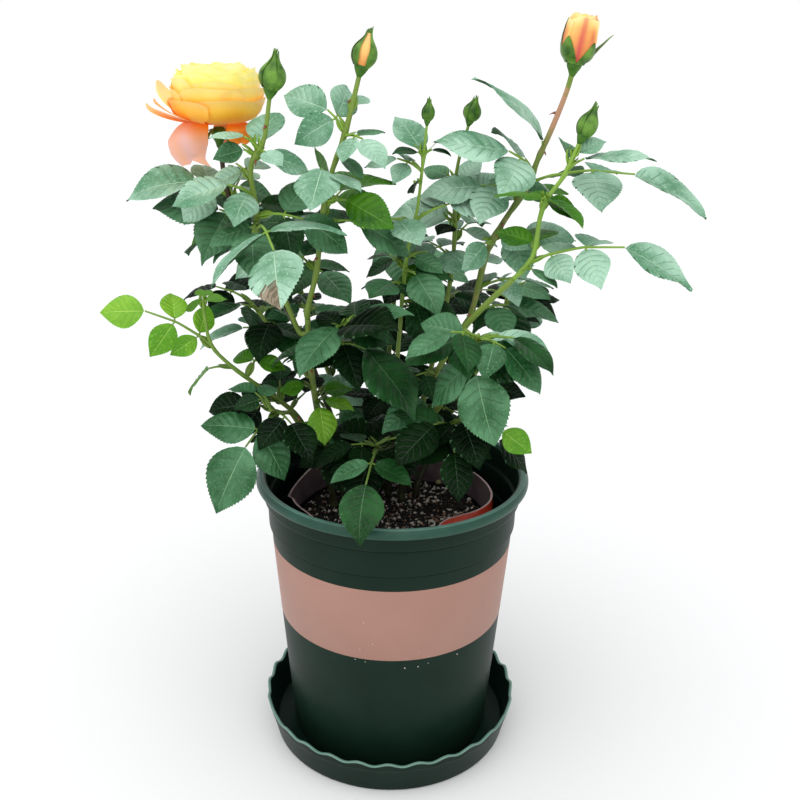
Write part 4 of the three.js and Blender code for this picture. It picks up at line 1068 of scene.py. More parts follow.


# Leaves

# Tones of leaves run from deep green to pale blue-green, levels of painted shade and painted light
# on one green, and then come two of young leaves. Each tone has a look for the face, one for the
# midrib and one for the side veins, whose darker look is painted shade in their grooves.
LEAF_TONES = 6
FIRST_YOUNG = 4
MIDRIB = LEAF_TONES
SIDE_VEIN = 2 * LEAF_TONES
UNDER = 3 * LEAF_TONES
YOUNG_UNDER = UNDER + 1
DRY = UNDER + 2
WITHERED = UNDER + 3
SECOND_YOUNG_SHARE = 0.4
YOUNG_SHARE = 0.08
YOUNG_FROM = 260
SHADE_HEIGHT = 300
SHADE_RISE = 240
SHADE_SPREAD = 0.36
# Low leaves take mostly the dark tones: painted shade low in the crown
LOW_TONE_POWER = 2.4
OWN_TONE_SHARE = 0.34
PALER_SHARE = 0.6

# The fine stalks: how far along a leaflet the points of its short stalk lie, and its radii
STALK_STEPS = 3
STALK_SIDES = 7
STALK_THICK = 0.95
STALK_THIN = 0.55
SHORT_STALK = (0, 1.2, 2.6)
SHORT_STALK_RADII = (0.6, 0.55, 0.45)
SHORT_STALK_SIDES = 6
STIPULE_THICKNESS = 0.25


def blade_rows():
    """The rows of a blade: each one's place, its tooth, its quilting, and whether the strip
    that starts at it is a side vein."""
    rows = [(0, 0, 0, False), (0.02, 0, 0, False)]
    for k in range(SIDE_VEINS):
        for offset, tooth, lift in ROWS_OF_VEIN:
            rows.append((FIRST_VEIN + VEIN_STEP * (k + offset), tooth, lift, offset == 0))
    rows += [(0.945, 1, 0, False), (0.965, 0, 0, False), (1, 0, 0, False)]
    return rows


def blade_outline(far):
    """Half width along a leaflet, as a share of its greatest."""
    below = np.sin(math.pi / 2 * np.clip(far / BLADE_PEAK, 0, 1)) ** 0.62
    beyond = np.clip((far - BLADE_PEAK) / (1 - BLADE_PEAK), 0, 1)
    above = (1 - beyond ** 1.75) * (1 - 0.22 * beyond ** 4)
    return np.maximum(np.where(far < BLADE_PEAK, below, above), 0.012)


ROWS = blade_rows()


def add_leaflet(store, leaflet, tone, random, dry=False):
    """The fine blade of a leaflet: toothed, folded along its midrib and quilted by its veins."""
    along, across, length = leaflet["along"], leaflet["across"], leaflet["length"]
    up = np.cross(across, along)
    base = leaflet["base"] + along * (0.4 if leaflet["last"] else 1.8)
    length -= 1
    half_width = length * BLADE_HALF_WIDTH * (1 + spread(random, 0.08))
    fold = LEAFLET_FOLD * chance(random, FOLD_SHARE)
    curl = chance(random, CURL)
    tip_curl = chance(random, TIP_CURL)
    wave = chance(random, WAVE)
    phase = chance(random, PHASE)
    bend = spread(random, 0.07)

    t = np.array([row[0] for row in ROWS])[:, None]
    tooth = np.array([row[1] for row in ROWS])[:, None]
    lifted = np.array([row[2] for row in ROWS])[:, None]
    s = np.array(BLADE_COLUMNS)[None, :]
    out = np.abs(s)
    far = t + VEIN_SWEEP * out * np.sin(math.pi * t) ** 0.9
    outline = blade_outline(far)
    rim = out == 1
    bite = TOOTH * tooth * rim * np.sqrt(outline)
    narrow = np.where(out < 0.1, 1 - 0.6 * t, 1)
    side = s * narrow * (outline + bite) * half_width
    far = far + bite * 0.3
    reach = np.abs(side)
    quilt = lifted * np.sin(math.pi * np.clip(out, 0.05, 0.97)) ** 0.6 * np.sqrt(outline)
    lift = fold * reach * (1 - 0.35 * t) - curl * reach ** 2 / half_width
    lift = lift + QUILT * length * quilt - 0.35 * (out < 0.1)
    lift = lift + wave * half_width * out ** 2 * np.sin(9 * t + 2 * np.sign(s) + phase)
    lift = lift - (leaflet["droop"] * far ** 2 + tip_curl * np.clip(far - 0.55, 0, 1) ** 2) * length
    swing = bend * length * far ** 2
    grid = laid_out(base, (along, far * length), (across, side + swing), (up, lift))
    slots = np.full((len(ROWS) - 1, len(BLADE_COLUMNS) - 1), tone)
    # The strips of the side veins take a darker look: painted shade in their grooves
    vein_rows = [i for i, row in enumerate(ROWS) if row[3]]
    slots[vein_rows, 1:-1] = SIDE_VEIN + tone
    slots[:, len(BLADE_COLUMNS) // 2 - 1] = MIDRIB + tone
    if dry:
        ragged = np.array([[random() for _ in BLADE_COLUMNS[1:]] for _ in ROWS[1:]])
        spoilt = (t + 0.18 * (out - 0.5))[:-1, 1:] + 0.1 * ragged - np.where(s[:, 1:] > 0, 0.6, 0.92)
        slots[spoilt > 0] = DRY
        slots[(spoilt > 0) & (ragged > 0.6)] = WITHERED
    under = YOUNG_UNDER if tone >= FIRST_YOUNG else UNDER
    add_blade(store, grid, np.broadcast_to(up, grid.shape), BLADE_THICKNESS, slots, under)


def leaf_tone(mass, leaf_made, random):
    """Which tone a leaf takes: paler towards the top of the crown, as painted light, and darker deep
    inside it, as painted shade.
    """
    if leaf_made["tone"] is not None:
        return leaf_made["tone"]
    if mass["plan"].get("young"):
        return FIRST_YOUNG + int(random() < SECOND_YOUNG_SHARE)
    height = leaf_made["centres"][-1][2]
    above = (height - SHADE_HEIGHT) / SHADE_RISE
    pale = mass["plan"]["shade"] + above + spread(random, SHADE_SPREAD)
    if random() < YOUNG_SHARE and height > YOUNG_FROM:
        return FIRST_YOUNG
    return int(np.clip(pale * FIRST_YOUNG, 0, FIRST_YOUNG - 1))


def leaflet_tone(tone, random):
    """A leaflet's own tone, at times one step away from its leaf's."""
    if tone >= FIRST_YOUNG or random() > OWN_TONE_SHARE:
        return tone
    return int(np.clip(tone + (1 if random() < PALER_SHARE else -1), 0, FIRST_YOUNG - 1))


def add_stalk(store, leaf_made, base, slot):
    """The stalk of a leaf, with the short stalks of its pairs and the stipules at its foot."""
    centres = [base, *leaf_made["centres"][1:]]
    run = smooth_run(centres, STALK_STEPS)
    add_tube(store, run, taper(run, STALK_THICK, STALK_THIN), STALK_SIDES, slot)
    for leaflet in leaf_made["leaflets"]:
        if not leaflet["last"]:
            short = [leaflet["base"] + leaflet["along"] * far for far in SHORT_STALK]
            add_tube(store, short, SHORT_STALK_RADII, SHORT_STALK_SIDES, slot)
    way, across, above = leaf_made["ways"][0], leaf_made["across"][0], leaf_made["above"][0]
    t = np.linspace(0, 1, 6)[:, None]
    s = np.linspace(0, 1, 3)[None, :]
    width = 2.2 * np.sin(math.pi * np.clip(t * 0.8 + 0.15, 0, 1)) * s + 0.5
    far = 1 + 8 * t + 1.5 * t * s
    for side in (-1, 1):
        grid = laid_out(base, (way, far), (across, side * width), (above, 0.3 + 0.5 * t * s))
        if side < 0:
            grid = grid[:, ::-1]
        add_blade(store, grid, np.broadcast_to(above, grid.shape), STIPULE_THICKNESS, slot, slot)


# Canes

BARK_GREEN = 0
BARK_BROWN = 1
BARK_PINK = 2
BARK_YOUNG = 3
THORN = 4
BARK_OF_MASS = {
    "bloom": BARK_BROWN, "low_left": BARK_YOUNG, "small_bud": BARK_YOUNG, "bud_right": BARK_YOUNG,
    "open_bud": BARK_PINK,
}
THORNY_MASSES = ("bud_centre", "bud_left", "open_bud", "bloom", "back", "back_left")


def add_thorns(store, run, radii, random):
    """Hooked thorns scattered up a stem."""
    total = sum(run_steps(run))
    passed = THORN_SPACING * (0.4 + random())
    while passed < total - THORNLESS_TIP:
        point, along = place_on_run(run, passed / total)
        side = unit(np.cross(along, direction(360 * random(), 0)))
        out = np.cross(side, along)
        radius = float(np.interp(passed / total, np.linspace(0, 1, len(radii)), radii))
        length = THORN_LENGTH * (0.6 + 0.5 * random())
        centres = [point + out * (radius * 0.6 + length * share) - along * (0.65 * share ** 2 * length)
                   for share in (0, 0.3, 0.6, 1)]
        add_tube(store, centres, THORN_RADII, THORN_SIDES, THORN)
        passed += THORN_SPACING * (0.5 + random())


def add_stem(store, run, radii, slot, seed, nodes=()):
    """A stem with bark relief, a little swollen where its leaves leave it."""
    fine = smooth_run(run, FINE_STEPS)
    passed = passed_lengths(fine)
    shares = passed / passed[-1]
    coarse = passed_lengths(run)
    widths = np.interp(shares, coarse / coarse[-1], radii)
    for node in nodes:
        away = (shares - node) * passed[-1] / NODE_LENGTH
        widths = widths * (1 + NODE_SWELLING * np.exp(-(away ** 2)))
    add_tube(store, fine, widths, CANE_SIDES, slot, relief=BARK_RELIEF, seed=seed)
    return fine


def build_canes(limbs, masses):
    """The canes and boughs, each carried on into the stems of its masses."""
    store = Store()
    stems = Store()
    for number, (label, limb) in enumerate(limbs.items()):
        run = limb["run"]
        radii = taper(run, limb["thick"], limb["thin"], limb["flare"])
        if "carrier" in limb:
            carrier, share = limb["carrier"]
            run = [place_on_run(limbs[carrier]["run"], share)[0], *run[1:]]
        slot = BARK_BROWN if label == "cane_bloom" else BARK_GREEN
        fine = add_stem(store, run, radii, slot, CANE_SEED + number)
        if label.startswith("cane"):
            add_thorns(store, fine, radii, seeded(CANE_THORN_SEED + number))
    for number, mass in enumerate(masses):
        plan = mass["plan"]
        run = [limbs[plan["limb"]]["run"][-1], *mass["run"][1:]]
        radii = taper(run, plan["thick"], plan["thin"])
        total = sum(run_steps(run))
        plain_total = sum(run_steps(mass["run"]))
        nodes = [leaf_made["share"] * plain_total / total for leaf_made in mass["leaves"]]
        slot = BARK_OF_MASS.get(plan["name"], BARK_GREEN)
        mass["fine"] = add_stem(stems, run, radii, slot, STEM_SEED + number, nodes)
        if plan["name"] in THORNY_MASSES:
            add_thorns(stems, mass["fine"], radii, seeded(STEM_THORN_SEED + number))
    return store, stems


# Buds and flowers

SEPAL = 0
PETAL = 1
HIP = 2


SEPALS = 5
HIP_SIDES = 20
BUD_SIDES = 28
TWIST_SIDES = 7

# Rows and columns of the sepals' and petals' grids
BUD_SEPAL_GRID = (14, 9)
OPENING_SEPAL_GRID = (14, 7)
BLOOM_SEPAL_GRID = (10, 5)
OPENING_PETAL_GRID = (16, 15)
WHORL_GRID = (15, 15)
FLARED_GRID = (15, 11)
HANGING_GRID = (18, 13)


def head_frame(along):
    side = unit(np.cross(vector(0, 1, 0), along))
    return side, np.cross(along, side)


def add_turned(store, base, along, rings, sides, slot, tints=None):
    """A closed body turned about a direction, from rings of height and radius."""
    side, over = head_frame(along)
    angles = np.linspace(0, 2 * math.pi, sides, endpoint=False)
    points = [base + along * height + (side * math.cos(a) + over * math.sin(a)) * radius
              for height, radius in rings for a in angles]
    tint = None if tints is None else np.repeat(np.asarray(tints, float), sides, axis=0)
    store.add(points, tube_faces(len(rings), sides), slot, tint)


# The outline of a closed bud: shares of its length, and its radius there as a share of its width
BUD_OUTLINE = (
    [0, 0.08, 0.16, 0.24, 0.33, 0.42, 0.5, 0.58, 0.65, 0.72, 0.8, 0.9, 1],
    [0.14, 0.2, 0.31, 0.42, 0.48, 0.49, 0.46, 0.39, 0.29, 0.19, 0.11, 0.075, 0.06],
)
BUD_RINGS = 22
BUD_CORE = 0.93
BUD_CORE_TOP = 0.84
BUD_HIP = [(-0.08, 0.1), (-0.03, 0.15), (0.03, 0.22), (0.1, 0.28), (0.16, 0.31), (0.23, 0.3)]


def bud_radius(share):
    return np.interp(share, *BUD_OUTLINE)


def scaled(rings, length, width):
    return [(far * length, radius * width) for far, radius in rings]


def add_wrap(store, base, along, heading, shape, spot, slot, thickness=SEPAL_THICKNESS, tints=None):
    """A petal or a sepal wrapped about a flower's axis: spot gives its radius, turn and
    height at a share along it and across it, and tints its warmth and its blush there."""
    side, over = head_frame(along)
    grid = np.zeros((*shape, 3))
    outward = np.zeros((*shape, 3))
    tint = np.zeros((*shape, 2))
    for i, t in enumerate(np.linspace(0, 1, shape[0])):
        for j, s in enumerate(np.linspace(-1, 1, shape[1])):
            radius, turn, height = spot(t, s)
            angle = math.radians(heading + turn)
            out = side * math.cos(angle) + over * math.sin(angle)
            grid[i, j] = base + along * height + out * radius
            outward[i, j] = out
            if tints:
                tint[i, j] = tints(t, s)
    add_blade(store, grid, outward, thickness, slot, slot, tint if tints else None)


def add_bud(store, base, along, width, length, opened, seed):
    """A closed bud: its petals, and five sepals wrapped over them that meet in a twisted tip."""
    random = seeded(seed)
    rings = [(share * length, bud_radius(share) * width * BUD_CORE)
             for share in np.linspace(0, BUD_CORE_TOP, BUD_RINGS)]
    tints = [(0.9 - 0.8 * share, 0.8 * max(0, share - 0.5)) for share in np.linspace(0, 1, BUD_RINGS)]
    add_turned(store, base, along, rings, BUD_SIDES, PETAL if opened else SEPAL, tints)
    add_turned(store, base, along, scaled(BUD_HIP, length, width), HIP_SIDES, HIP)
    first = TOWARDS_VIEWER + 36 if opened else 360 * random()
    for k in range(SEPALS):
        beside = opened and k in (0, SEPALS - 1)
        heading = first + 360 / SEPALS * k + (9 if k == 0 else -9) * beside
        cover = (30 if beside else 46) * (1 + spread(random, 0.05))
        reach = 0.9 + 0.12 * random()
        twist = 40 * random()
        free = 0.9 * random()

        def spot(t, s):
            share = 0.14 + (reach - 0.14) * t
            half = cover * min(1, 0.55 + 2.4 * t) * max(1 - t, 0) ** (0.6 if beside else 0.4)
            turn = s * max(half, 4) + (0 if beside else twist * t ** 3)
            rib = 0.3 * math.exp(-((s / 0.25) ** 2)) * min(1, 3 * (1 - t))
            lift = 0.3 + 0.2 * (s + 1) + rib + free * max(0, t - 0.7)
            return bud_radius(share) * width + lift, turn, share * length

        add_wrap(store, base, along, heading, BUD_SEPAL_GRID, spot, SEPAL)
    for k in range(3):
        heading = 120 * k + 360 * random()
        tip = base + along * length * 0.9
        out = unit(along + direction(heading, 0) * 0.35)
        centres = [tip - along * 0.14 * length, tip, tip + out * 0.1 * length * (0.5 + 0.5 * random())]
        add_tube(store, centres, [0.08 * width, 0.05 * width, 0.02 * width], TWIST_SIDES, SEPAL)


# The opening flower's outline: shares of its height over the hip, and its width there
BARREL = ([0, 0.06, 0.15, 0.3, 0.5, 0.75, 0.9, 1], [0.5, 0.76, 0.92, 1.02, 1.04, 0.96, 0.85, 0.72])
OPENING_HIP = 0.15
OPENING_HIP_RINGS = [
    (-0.1, 0.08), (-0.06, 0.11), (0, 0.16), (0.05, 0.21), (0.1, 0.24), (0.15, 0.22), (0.19, 0.16),
]

# Its sepals: heading, reach along the flower, and whether it stands off
OPENING_SEPALS = [
    (316, 0.42, False), (10, 0.62, True), (82, 0.5, False), (160, 0.78, False), (222, 0.46, False),
]

# Petals of the opening flower, from outside in: heading, size, height of the edge, half turn
OPENING_PETALS = [
    (272, 1, 0.93, 58), (150, 0.99, 0.9, 74), (28, 0.98, 0.95, 74), (212, 0.92, 0.98, 60),
    (330, 0.9, 1, 56), (90, 0.88, 0.97, 70), (270, 0.8, 0.99, 60), (180, 0.68, 1, 70),
    (20, 0.6, 0.99, 80), (250, 0.45, 0.98, 80), (90, 0.35, 0.97, 90),
]
OUTER_PETALS = 6
STREAKED_PETALS = (0, 4)


def add_opening_bud(store, base, along, width, length, seed):
    """The opening flower: wrapped petals with rolled edges, and sepals that let go of it."""
    random = seeded(seed)
    add_turned(store, base, along, scaled(OPENING_HIP_RINGS, length, width), HIP_SIDES, HIP)

    def barrel(share):
        return width / 2 * np.interp((share - OPENING_HIP) / (1 - OPENING_HIP), *BARREL)

    for k, (heading, size, top, half) in enumerate(OPENING_PETALS):
        phase = chance(random, PHASE)

        def spot(t, s):
            edge = 1 - 0.07 * s ** 2 * t + 0.012 * math.sin(5 * s + phase) * t
            share = OPENING_HIP + (top - OPENING_HIP) * t * edge
            lip = 0.045 * max(0, t - 0.82) / 0.18 * width * (1 if k < OUTER_PETALS else 0.3)
            radius = barrel(share) * size + lip * (0.5 + 0.5 * s ** 2) + 0.012 * width * (s + 1)
            return radius, half * s * min(1, 0.5 + 1.6 * t), share * length

        def tints(t, s):
            streak = 0
            if k in STREAKED_PETALS:
                streak = math.exp(-(((s + 0.16 - 0.1 * t) / 0.17) ** 2)) * (1 - 0.35 * t)
            edge = 0.35 * max(0, t - 0.75) / 0.25
            patch = 0.4 * math.exp(-(((s - 0.6) / 0.2) ** 2) - ((t - 0.6) / 0.25) ** 2)
            return 0.52 - edge - 0.3 * abs(s) + 0.5 * (1 - t) + patch, streak

        add_wrap(store, base, along, heading, OPENING_PETAL_GRID, spot, PETAL, OPENING_THICKNESS,
                 tints)
    for heading, reach, stands_off in OPENING_SEPALS:
        def spot(t, s):
            share = OPENING_HIP - 0.03 + reach * t
            half = 45 * (1 - t) ** (1.5 if stands_off else 0.75) + 1.5
            spill = width * 0.85 * max(0, t - 0.32) ** 1.4 if stands_off else 0
            rib = 0.35 * math.exp(-((s / 0.2) ** 2))
            return barrel(share) + 0.7 + spill + rib, s * half, share * length

        add_wrap(store, base, along, heading, OPENING_SEPAL_GRID, spot, SEPAL)


# Whorls of the bloom, from outside in: petals, radius, height of the edge, half turn, warmth
WHORLS = [
    (5, 25.6, 25, 47, 1),
    (5, 24.9, 30.5, 45, 0.8),
    (6, 23.7, 35, 39, 0.55),
    (7, 22.8, 38.5, 38, 0.36),
    (8, 21.4, 41, 36, 0.2),
    (8, 18.6, 42.5, 38, 0.1),
    (7, 14.2, 43, 44, 0.05),
    (6, 9.6, 42.5, 50, 0.05),
    (5, 5.6, 41.5, 50, 0.2),
]

# Petals that stand out from the bloom: heading, reach, height of the tip, half turn, warmth
FLARED = [
    (183, 40, 21.5, 22, 0.8), (203, 35.5, 25, 30, 0.85), (166, 36, 34, 24, 0.2),
    (70, 36, 31, 28, 0.4), (118, 37, 27, 26, 0.6),
]
CUP_FOOT = 10
BLOOM_HEIGHT = 43
BLOOM_HIP = [(-3, 1.6), (0, 2.4), (2.5, 3.9), (5, 4.5), (7, 3.8), (8.5, 2.6)]

# Petals that hang from it: place, heading, fall, half width, blush, and whether it has a tail
HANGING = [
    ((-10.5, -4.8, 11.5), 262, 25.5, 12, 1, True),
    ((11, -4, 11.5), 300, 12, 9, 0, False),
    ((2, 8, 9.5), 80, 14, 10, 0.5, False),
]


def add_bloom(store, base, seed):
    """The open bloom: whorls of cupped, ruffled petals on a hip, and petals that hang from it."""
    random = seeded(seed)
    add_turned(store, base, UP, BLOOM_HIP, HIP_SIDES, HIP)

    def sepal(t, s):
        return 3.4 + 9 * t, s * 40 * (1 - t) ** 0.7 * (0.4 if t > 0.3 else 1), 7.5 - 9 * t ** 2

    for k in range(SEPALS):
        add_wrap(store, base, UP, 360 / SEPALS * k + 20, BLOOM_SEPAL_GRID, sepal, SEPAL)
    for whorl, (count, reach, top, half, warmth) in enumerate(WHORLS):
        inner = whorl / (len(WHORLS) - 1)
        for k in range(count):
            heading = 360 * k / count + 47 * whorl + spread(random, 8)
            height = top * (1 + spread(random, 0.035))
            radius = reach * (1 + spread(random, 0.014))
            ruffle = (0.35 + 1.5 * inner) * (0.6 + 0.8 * random())
            phase = chance(random, PHASE)
            tilt = spread(random, 0.05)
            foot = CUP_FOOT + 0.7 * whorl

            def spot(t, s):
                out = radius * (1 - (1 - t) ** 2.5)
                rolled = max(0, t - 0.84) / 0.16
                out += (1.5 - 3.6 * inner) * rolled + 0.35 * (s + 1)
                out += ruffle * t ** 3 * math.sin(4.6 * s + phase)
                edge = 1 - (0.1 - 0.04 * inner) * s ** 2 - 0.9 * max(0, abs(s) - 0.66) ** 2 + tilt * s
                edge += 0.018 * math.sin(6 * s + phase) * (0.5 + inner)
                lift = (height - foot) * t ** 1.8 * edge - 0.6 * rolled ** 2
                return max(out, 0.6), half * s * (0.3 + 0.7 * min(1, 1.6 * t)), foot + lift

            def tints(t, s):
                pale = 0.3 * (max(0, t - 0.7) / 0.3) ** 1.5 * (1 - inner) if whorl < 3 else 0
                up = spot(t, s)[2] / BLOOM_HEIGHT
                warm = 1.02 - 0.98 * up + 0.22 * (warmth - 0.4) * (1 - t)
                return warm + 0.03 * math.sin(5 * s + phase), pale

            add_wrap(store, base, UP, heading, WHORL_GRID, spot, PETAL, PETAL_THICKNESS, tints)
    for heading, reach, top, half, warmth in FLARED:
        phase = chance(random, PHASE)

        def spot(t, s):
            out = reach * (1 - (1 - t) ** 1.5)
            wide = half * (0.5 + 0.5 * min(1, 2 * t)) * (1 - 0.75 * max(0, t - 0.5) ** 2 * 4)
            lift = (top - CUP_FOOT) * t ** 1.7 * (1 - 0.08 * s ** 2) + 0.5 * math.sin(3 * s + phase) * t
            return max(out, 0.6), wide * s, CUP_FOOT - 0.5 + lift

        def tints(t, s):
            return warmth * (1.15 - 0.5 * t), 0.5 * t ** 3

        add_wrap(store, base, UP, heading, FLARED_GRID, spot, PETAL, PETAL_THICKNESS, tints)
    for place, *shape in HANGING:
        add_hanging_petal(store, base + vector(*place), *shape)


def add_hanging_petal(store, start, heading, fall, half, blush, tail):
    """A petal bent down under the bloom, convex outwards, at times with a tail at its corner."""
    out = direction(heading, 0)
    across = direction(heading - 90, 0)
    t = np.linspace(0, 1, HANGING_GRID[0])[:, None]
    s = np.linspace(-1, 1, HANGING_GRID[1])[None, :]
    wide = half * np.interp(t, [0, 0.2, 0.5, 0.75, 0.9, 1], [0.5, 0.8, 1, 0.86, 0.6, 0.3])
    shift = 0.45 * half * np.sin(math.pi / 2 * np.clip(1.6 * t, 0, 1)) * (1 if tail else 0)
    late = np.clip(t - 0.72, 0, 1) / 0.28 * (1 if tail else 0)
    corner = 10 * np.clip(-s - 0.7, 0, 1) / 0.3 * late ** 2
    side = wide * s + shift - corner
    bulge = 0.32 * half * (1 - s ** 2) * np.sin(math.pi * np.clip(t + 0.1, 0, 1))
    away = 5 * np.sin(math.pi / 2 * np.clip(2.4 * t, 0, 1)) + bulge + 0.6 * np.sin(4 * s + 5 * t)
    drop = fall * np.clip(t - 0.08, 0, 1) + 2.2 * np.clip(t - 0.5, 0, 1) * s ** 2
    drop = drop - 3.2 * late * np.exp(-((s + 0.62) / 0.26) ** 2)
    grid = laid_out(start, (out, away), (across, side), (-UP, drop))
    blushed = blush * np.clip(2.6 * t + 0.5 * s - 0.1, 0, 1) * (0.85 + 0.15 * np.sin(5 * s + 3 * t))
    warm = 1 - (0.3 if tail else 0.05) * t
    tint = np.stack(np.broadcast_arrays(warm, blushed), -1)
    add_blade(store, grid, np.broadcast_to(out, grid.shape), PETAL_THICKNESS, PETAL, PETAL, tint)


# Pot, saucer, liner and mix

POT_WALL_LOOK = 0
POT_PAINTED_LIGHT_LIP_LOOK = 1
POT_PAINTED_HIGHLIGHT_EDGE_LOOK = 2
LINER_OUTSIDE = 0
LINER_INSIDE = 1
LINER_LIT = 2
LINER_PAINTED_HIGHLIGHT_EDGE = 3
PALE_GRAIN = 0
BROWN_GRAIN = 1
DARK_GRAIN = 2
CHIP_GRAIN = 3
STRAW = 4


def ring_of(radius, height, segments):
    """Points round the pot's axis."""
    return [vector(radius * math.cos(a), radius * math.sin(a), height)
            for a in np.linspace(0, 2 * math.pi, segments, endpoint=False)]


def add_lathe(store, profile, segments, slots, shift=None):
    """A body turned about Z from a profile that runs from axis to axis. One slot to a step."""
    rows = [point for point in profile if point[0] > 0]
    points = [point for radius, height in rows for point in ring_of(radius, height, segments)]
    points += [vector(0, 0, profile[0][1]), vector(0, 0, profile[-1][1])]
    if shift:
        points = [shift(point) for point in points]
    faces = grid_faces(len(rows), segments, around=True)
    slot_list = [slots[i] for i in range(len(rows) - 1) for _ in range(segments)]
    first, last = len(rows) * segments, (len(rows) - 1) * segments
    for k in range(segments):
        following = (k + 1) % segments
        faces += [[first, following, k], [first + 1, last + k, last + following]]
        slot_list += [slots[0], slots[-1]]
    store.add(points, faces, slot_list)


def rounded(profile, radius=0.5, steps=3):
    """A profile with its corners rounded off, except for its ends."""
    points = [np.array(point, float) for point in profile]
    result = [points[0]]
    for before, corner, after in zip(points, points[1:], points[2:]):
        back, ahead = before - corner, after - corner
        cut = min(radius, 0.4 * np.linalg.norm(back), 0.4 * np.linalg.norm(ahead))
        start, end = corner + unit(back) * cut, corner + unit(ahead) * cut
        for k in range(steps + 1):
            t = k / steps
            result.append((1 - t) ** 2 * start + 2 * t * (1 - t) * corner + t ** 2 * end)
    result.append(points[-1])
    return [tuple(point) for point in result]


def wall_radius(height):
    """The outer radius of the pot's body at a height."""
    share = (height - POT_FOOT) / (STEP_BOTTOM - POT_FOOT)
    return POT_FOOT_RADIUS + (BODY_TOP_RADIUS - POT_FOOT_RADIUS) * share


def profile_steps(profile):
    """The middles of a profile's steps, apart from those that close it at the axis."""
    rows = [point for point in profile if point[0] > 0]
    return [((a[0] + b[0]) / 2, (a[1] + b[1]) / 2) for a, b in zip(rows, rows[1:])]


def build_pot():
    """The pot: its tapered wall, the step, the collar and the rounded lip, with painted light on the lip
    and a painted highlight on its top edge.
    """
    lip_bottom = POT_TOP - LIP_HEIGHT
    floor = POT_FOOT + POT_FLOOR_THICKNESS
    outside = [
        (0, POT_FOOT), (POT_FOOT_RADIUS - 1.5, POT_FOOT), (POT_FOOT_RADIUS, POT_FOOT + 1.5),
        (wall_radius(BAND_BOTTOM - 0.3), BAND_BOTTOM - 0.3),
        (wall_radius(BAND_TOP + 0.3), BAND_TOP + 0.3),
        (BODY_TOP_RADIUS - 0.1, STEP_BOTTOM - 1.4), (BODY_TOP_RADIUS - 0.5, STEP_BOTTOM - 0.7),
        (BODY_TOP_RADIUS + 1.2, STEP_BOTTOM), (BODY_TOP_RADIUS + 1.3, STEP_BOTTOM + 1.4),
        (STEP_TOP_RADIUS - 0.2, COLLAR_BOTTOM - 1.6), (STEP_TOP_RADIUS - 0.7, COLLAR_BOTTOM - 0.8),
        (COLLAR_RADIUS + 0.2, COLLAR_BOTTOM), (COLLAR_RADIUS + 0.5, COLLAR_BOTTOM + 1.2),
        (COLLAR_RADIUS + 0.6, lip_bottom), (LIP_RADIUS - 0.6, lip_bottom + 0.2),
        (LIP_RADIUS + 0.1, lip_bottom + 1.4), (LIP_RADIUS + 0.1, POT_TOP - 2.6),
        (LIP_RADIUS - 1.6, POT_TOP - 0.1), (LIP_INNER_RADIUS + 2, POT_TOP),
        (LIP_INNER_RADIUS, POT_TOP - 1.6),
    ]
    inside = [
        (COLLAR_RADIUS - POT_WALL, lip_bottom - 2), (COLLAR_RADIUS - POT_WALL, COLLAR_BOTTOM),
        (STEP_TOP_RADIUS - POT_WALL - 0.3, COLLAR_BOTTOM - 1.2),
        (BODY_TOP_RADIUS - POT_WALL + 1, STEP_BOTTOM + 1),
        (BODY_TOP_RADIUS - POT_WALL - 0.4, STEP_BOTTOM), (wall_radius(80) - POT_WALL, 80),
        (POT_FOOT_RADIUS - POT_WALL, floor), (0, floor),
    ]
    profile = rounded(outside + inside, 0.8)

    # The lip and its top edge take lighter copies of the wall's plastic: painted light and a painted
    # highlight
    def look_at(radius, height):
        if height > POT_TOP - 0.5:
            return POT_PAINTED_HIGHLIGHT_EDGE_LOOK
        return POT_PAINTED_LIGHT_LIP_LOOK if height > lip_bottom and radius > LIP_INNER_RADIUS - 0.5 else POT_WALL_LOOK

    store = Store()
    add_lathe(store, profile, POT_SEGMENTS, [look_at(*middle) for middle in profile_steps(profile)])
    return store


def build_band():
    """The plain band round the pot: a skin just clear of its wall."""
    edge, out = 0.02, BAND_THICKNESS
    loop = [(BAND_BOTTOM, BAND_BOTTOM, edge), (BAND_BOTTOM, BAND_BOTTOM + 0.2, out), (116, 116, out),
            (BAND_TOP, BAND_TOP - 0.2, out), (BAND_TOP, BAND_TOP, edge)]
    points = [point for wall, height, clear in loop
              for point in ring_of(wall_radius(wall) + clear, height, POT_SEGMENTS)]
    store = Store()
    store.add(points, grid_faces(len(loop), POT_SEGMENTS, around=True), 0)
    return store


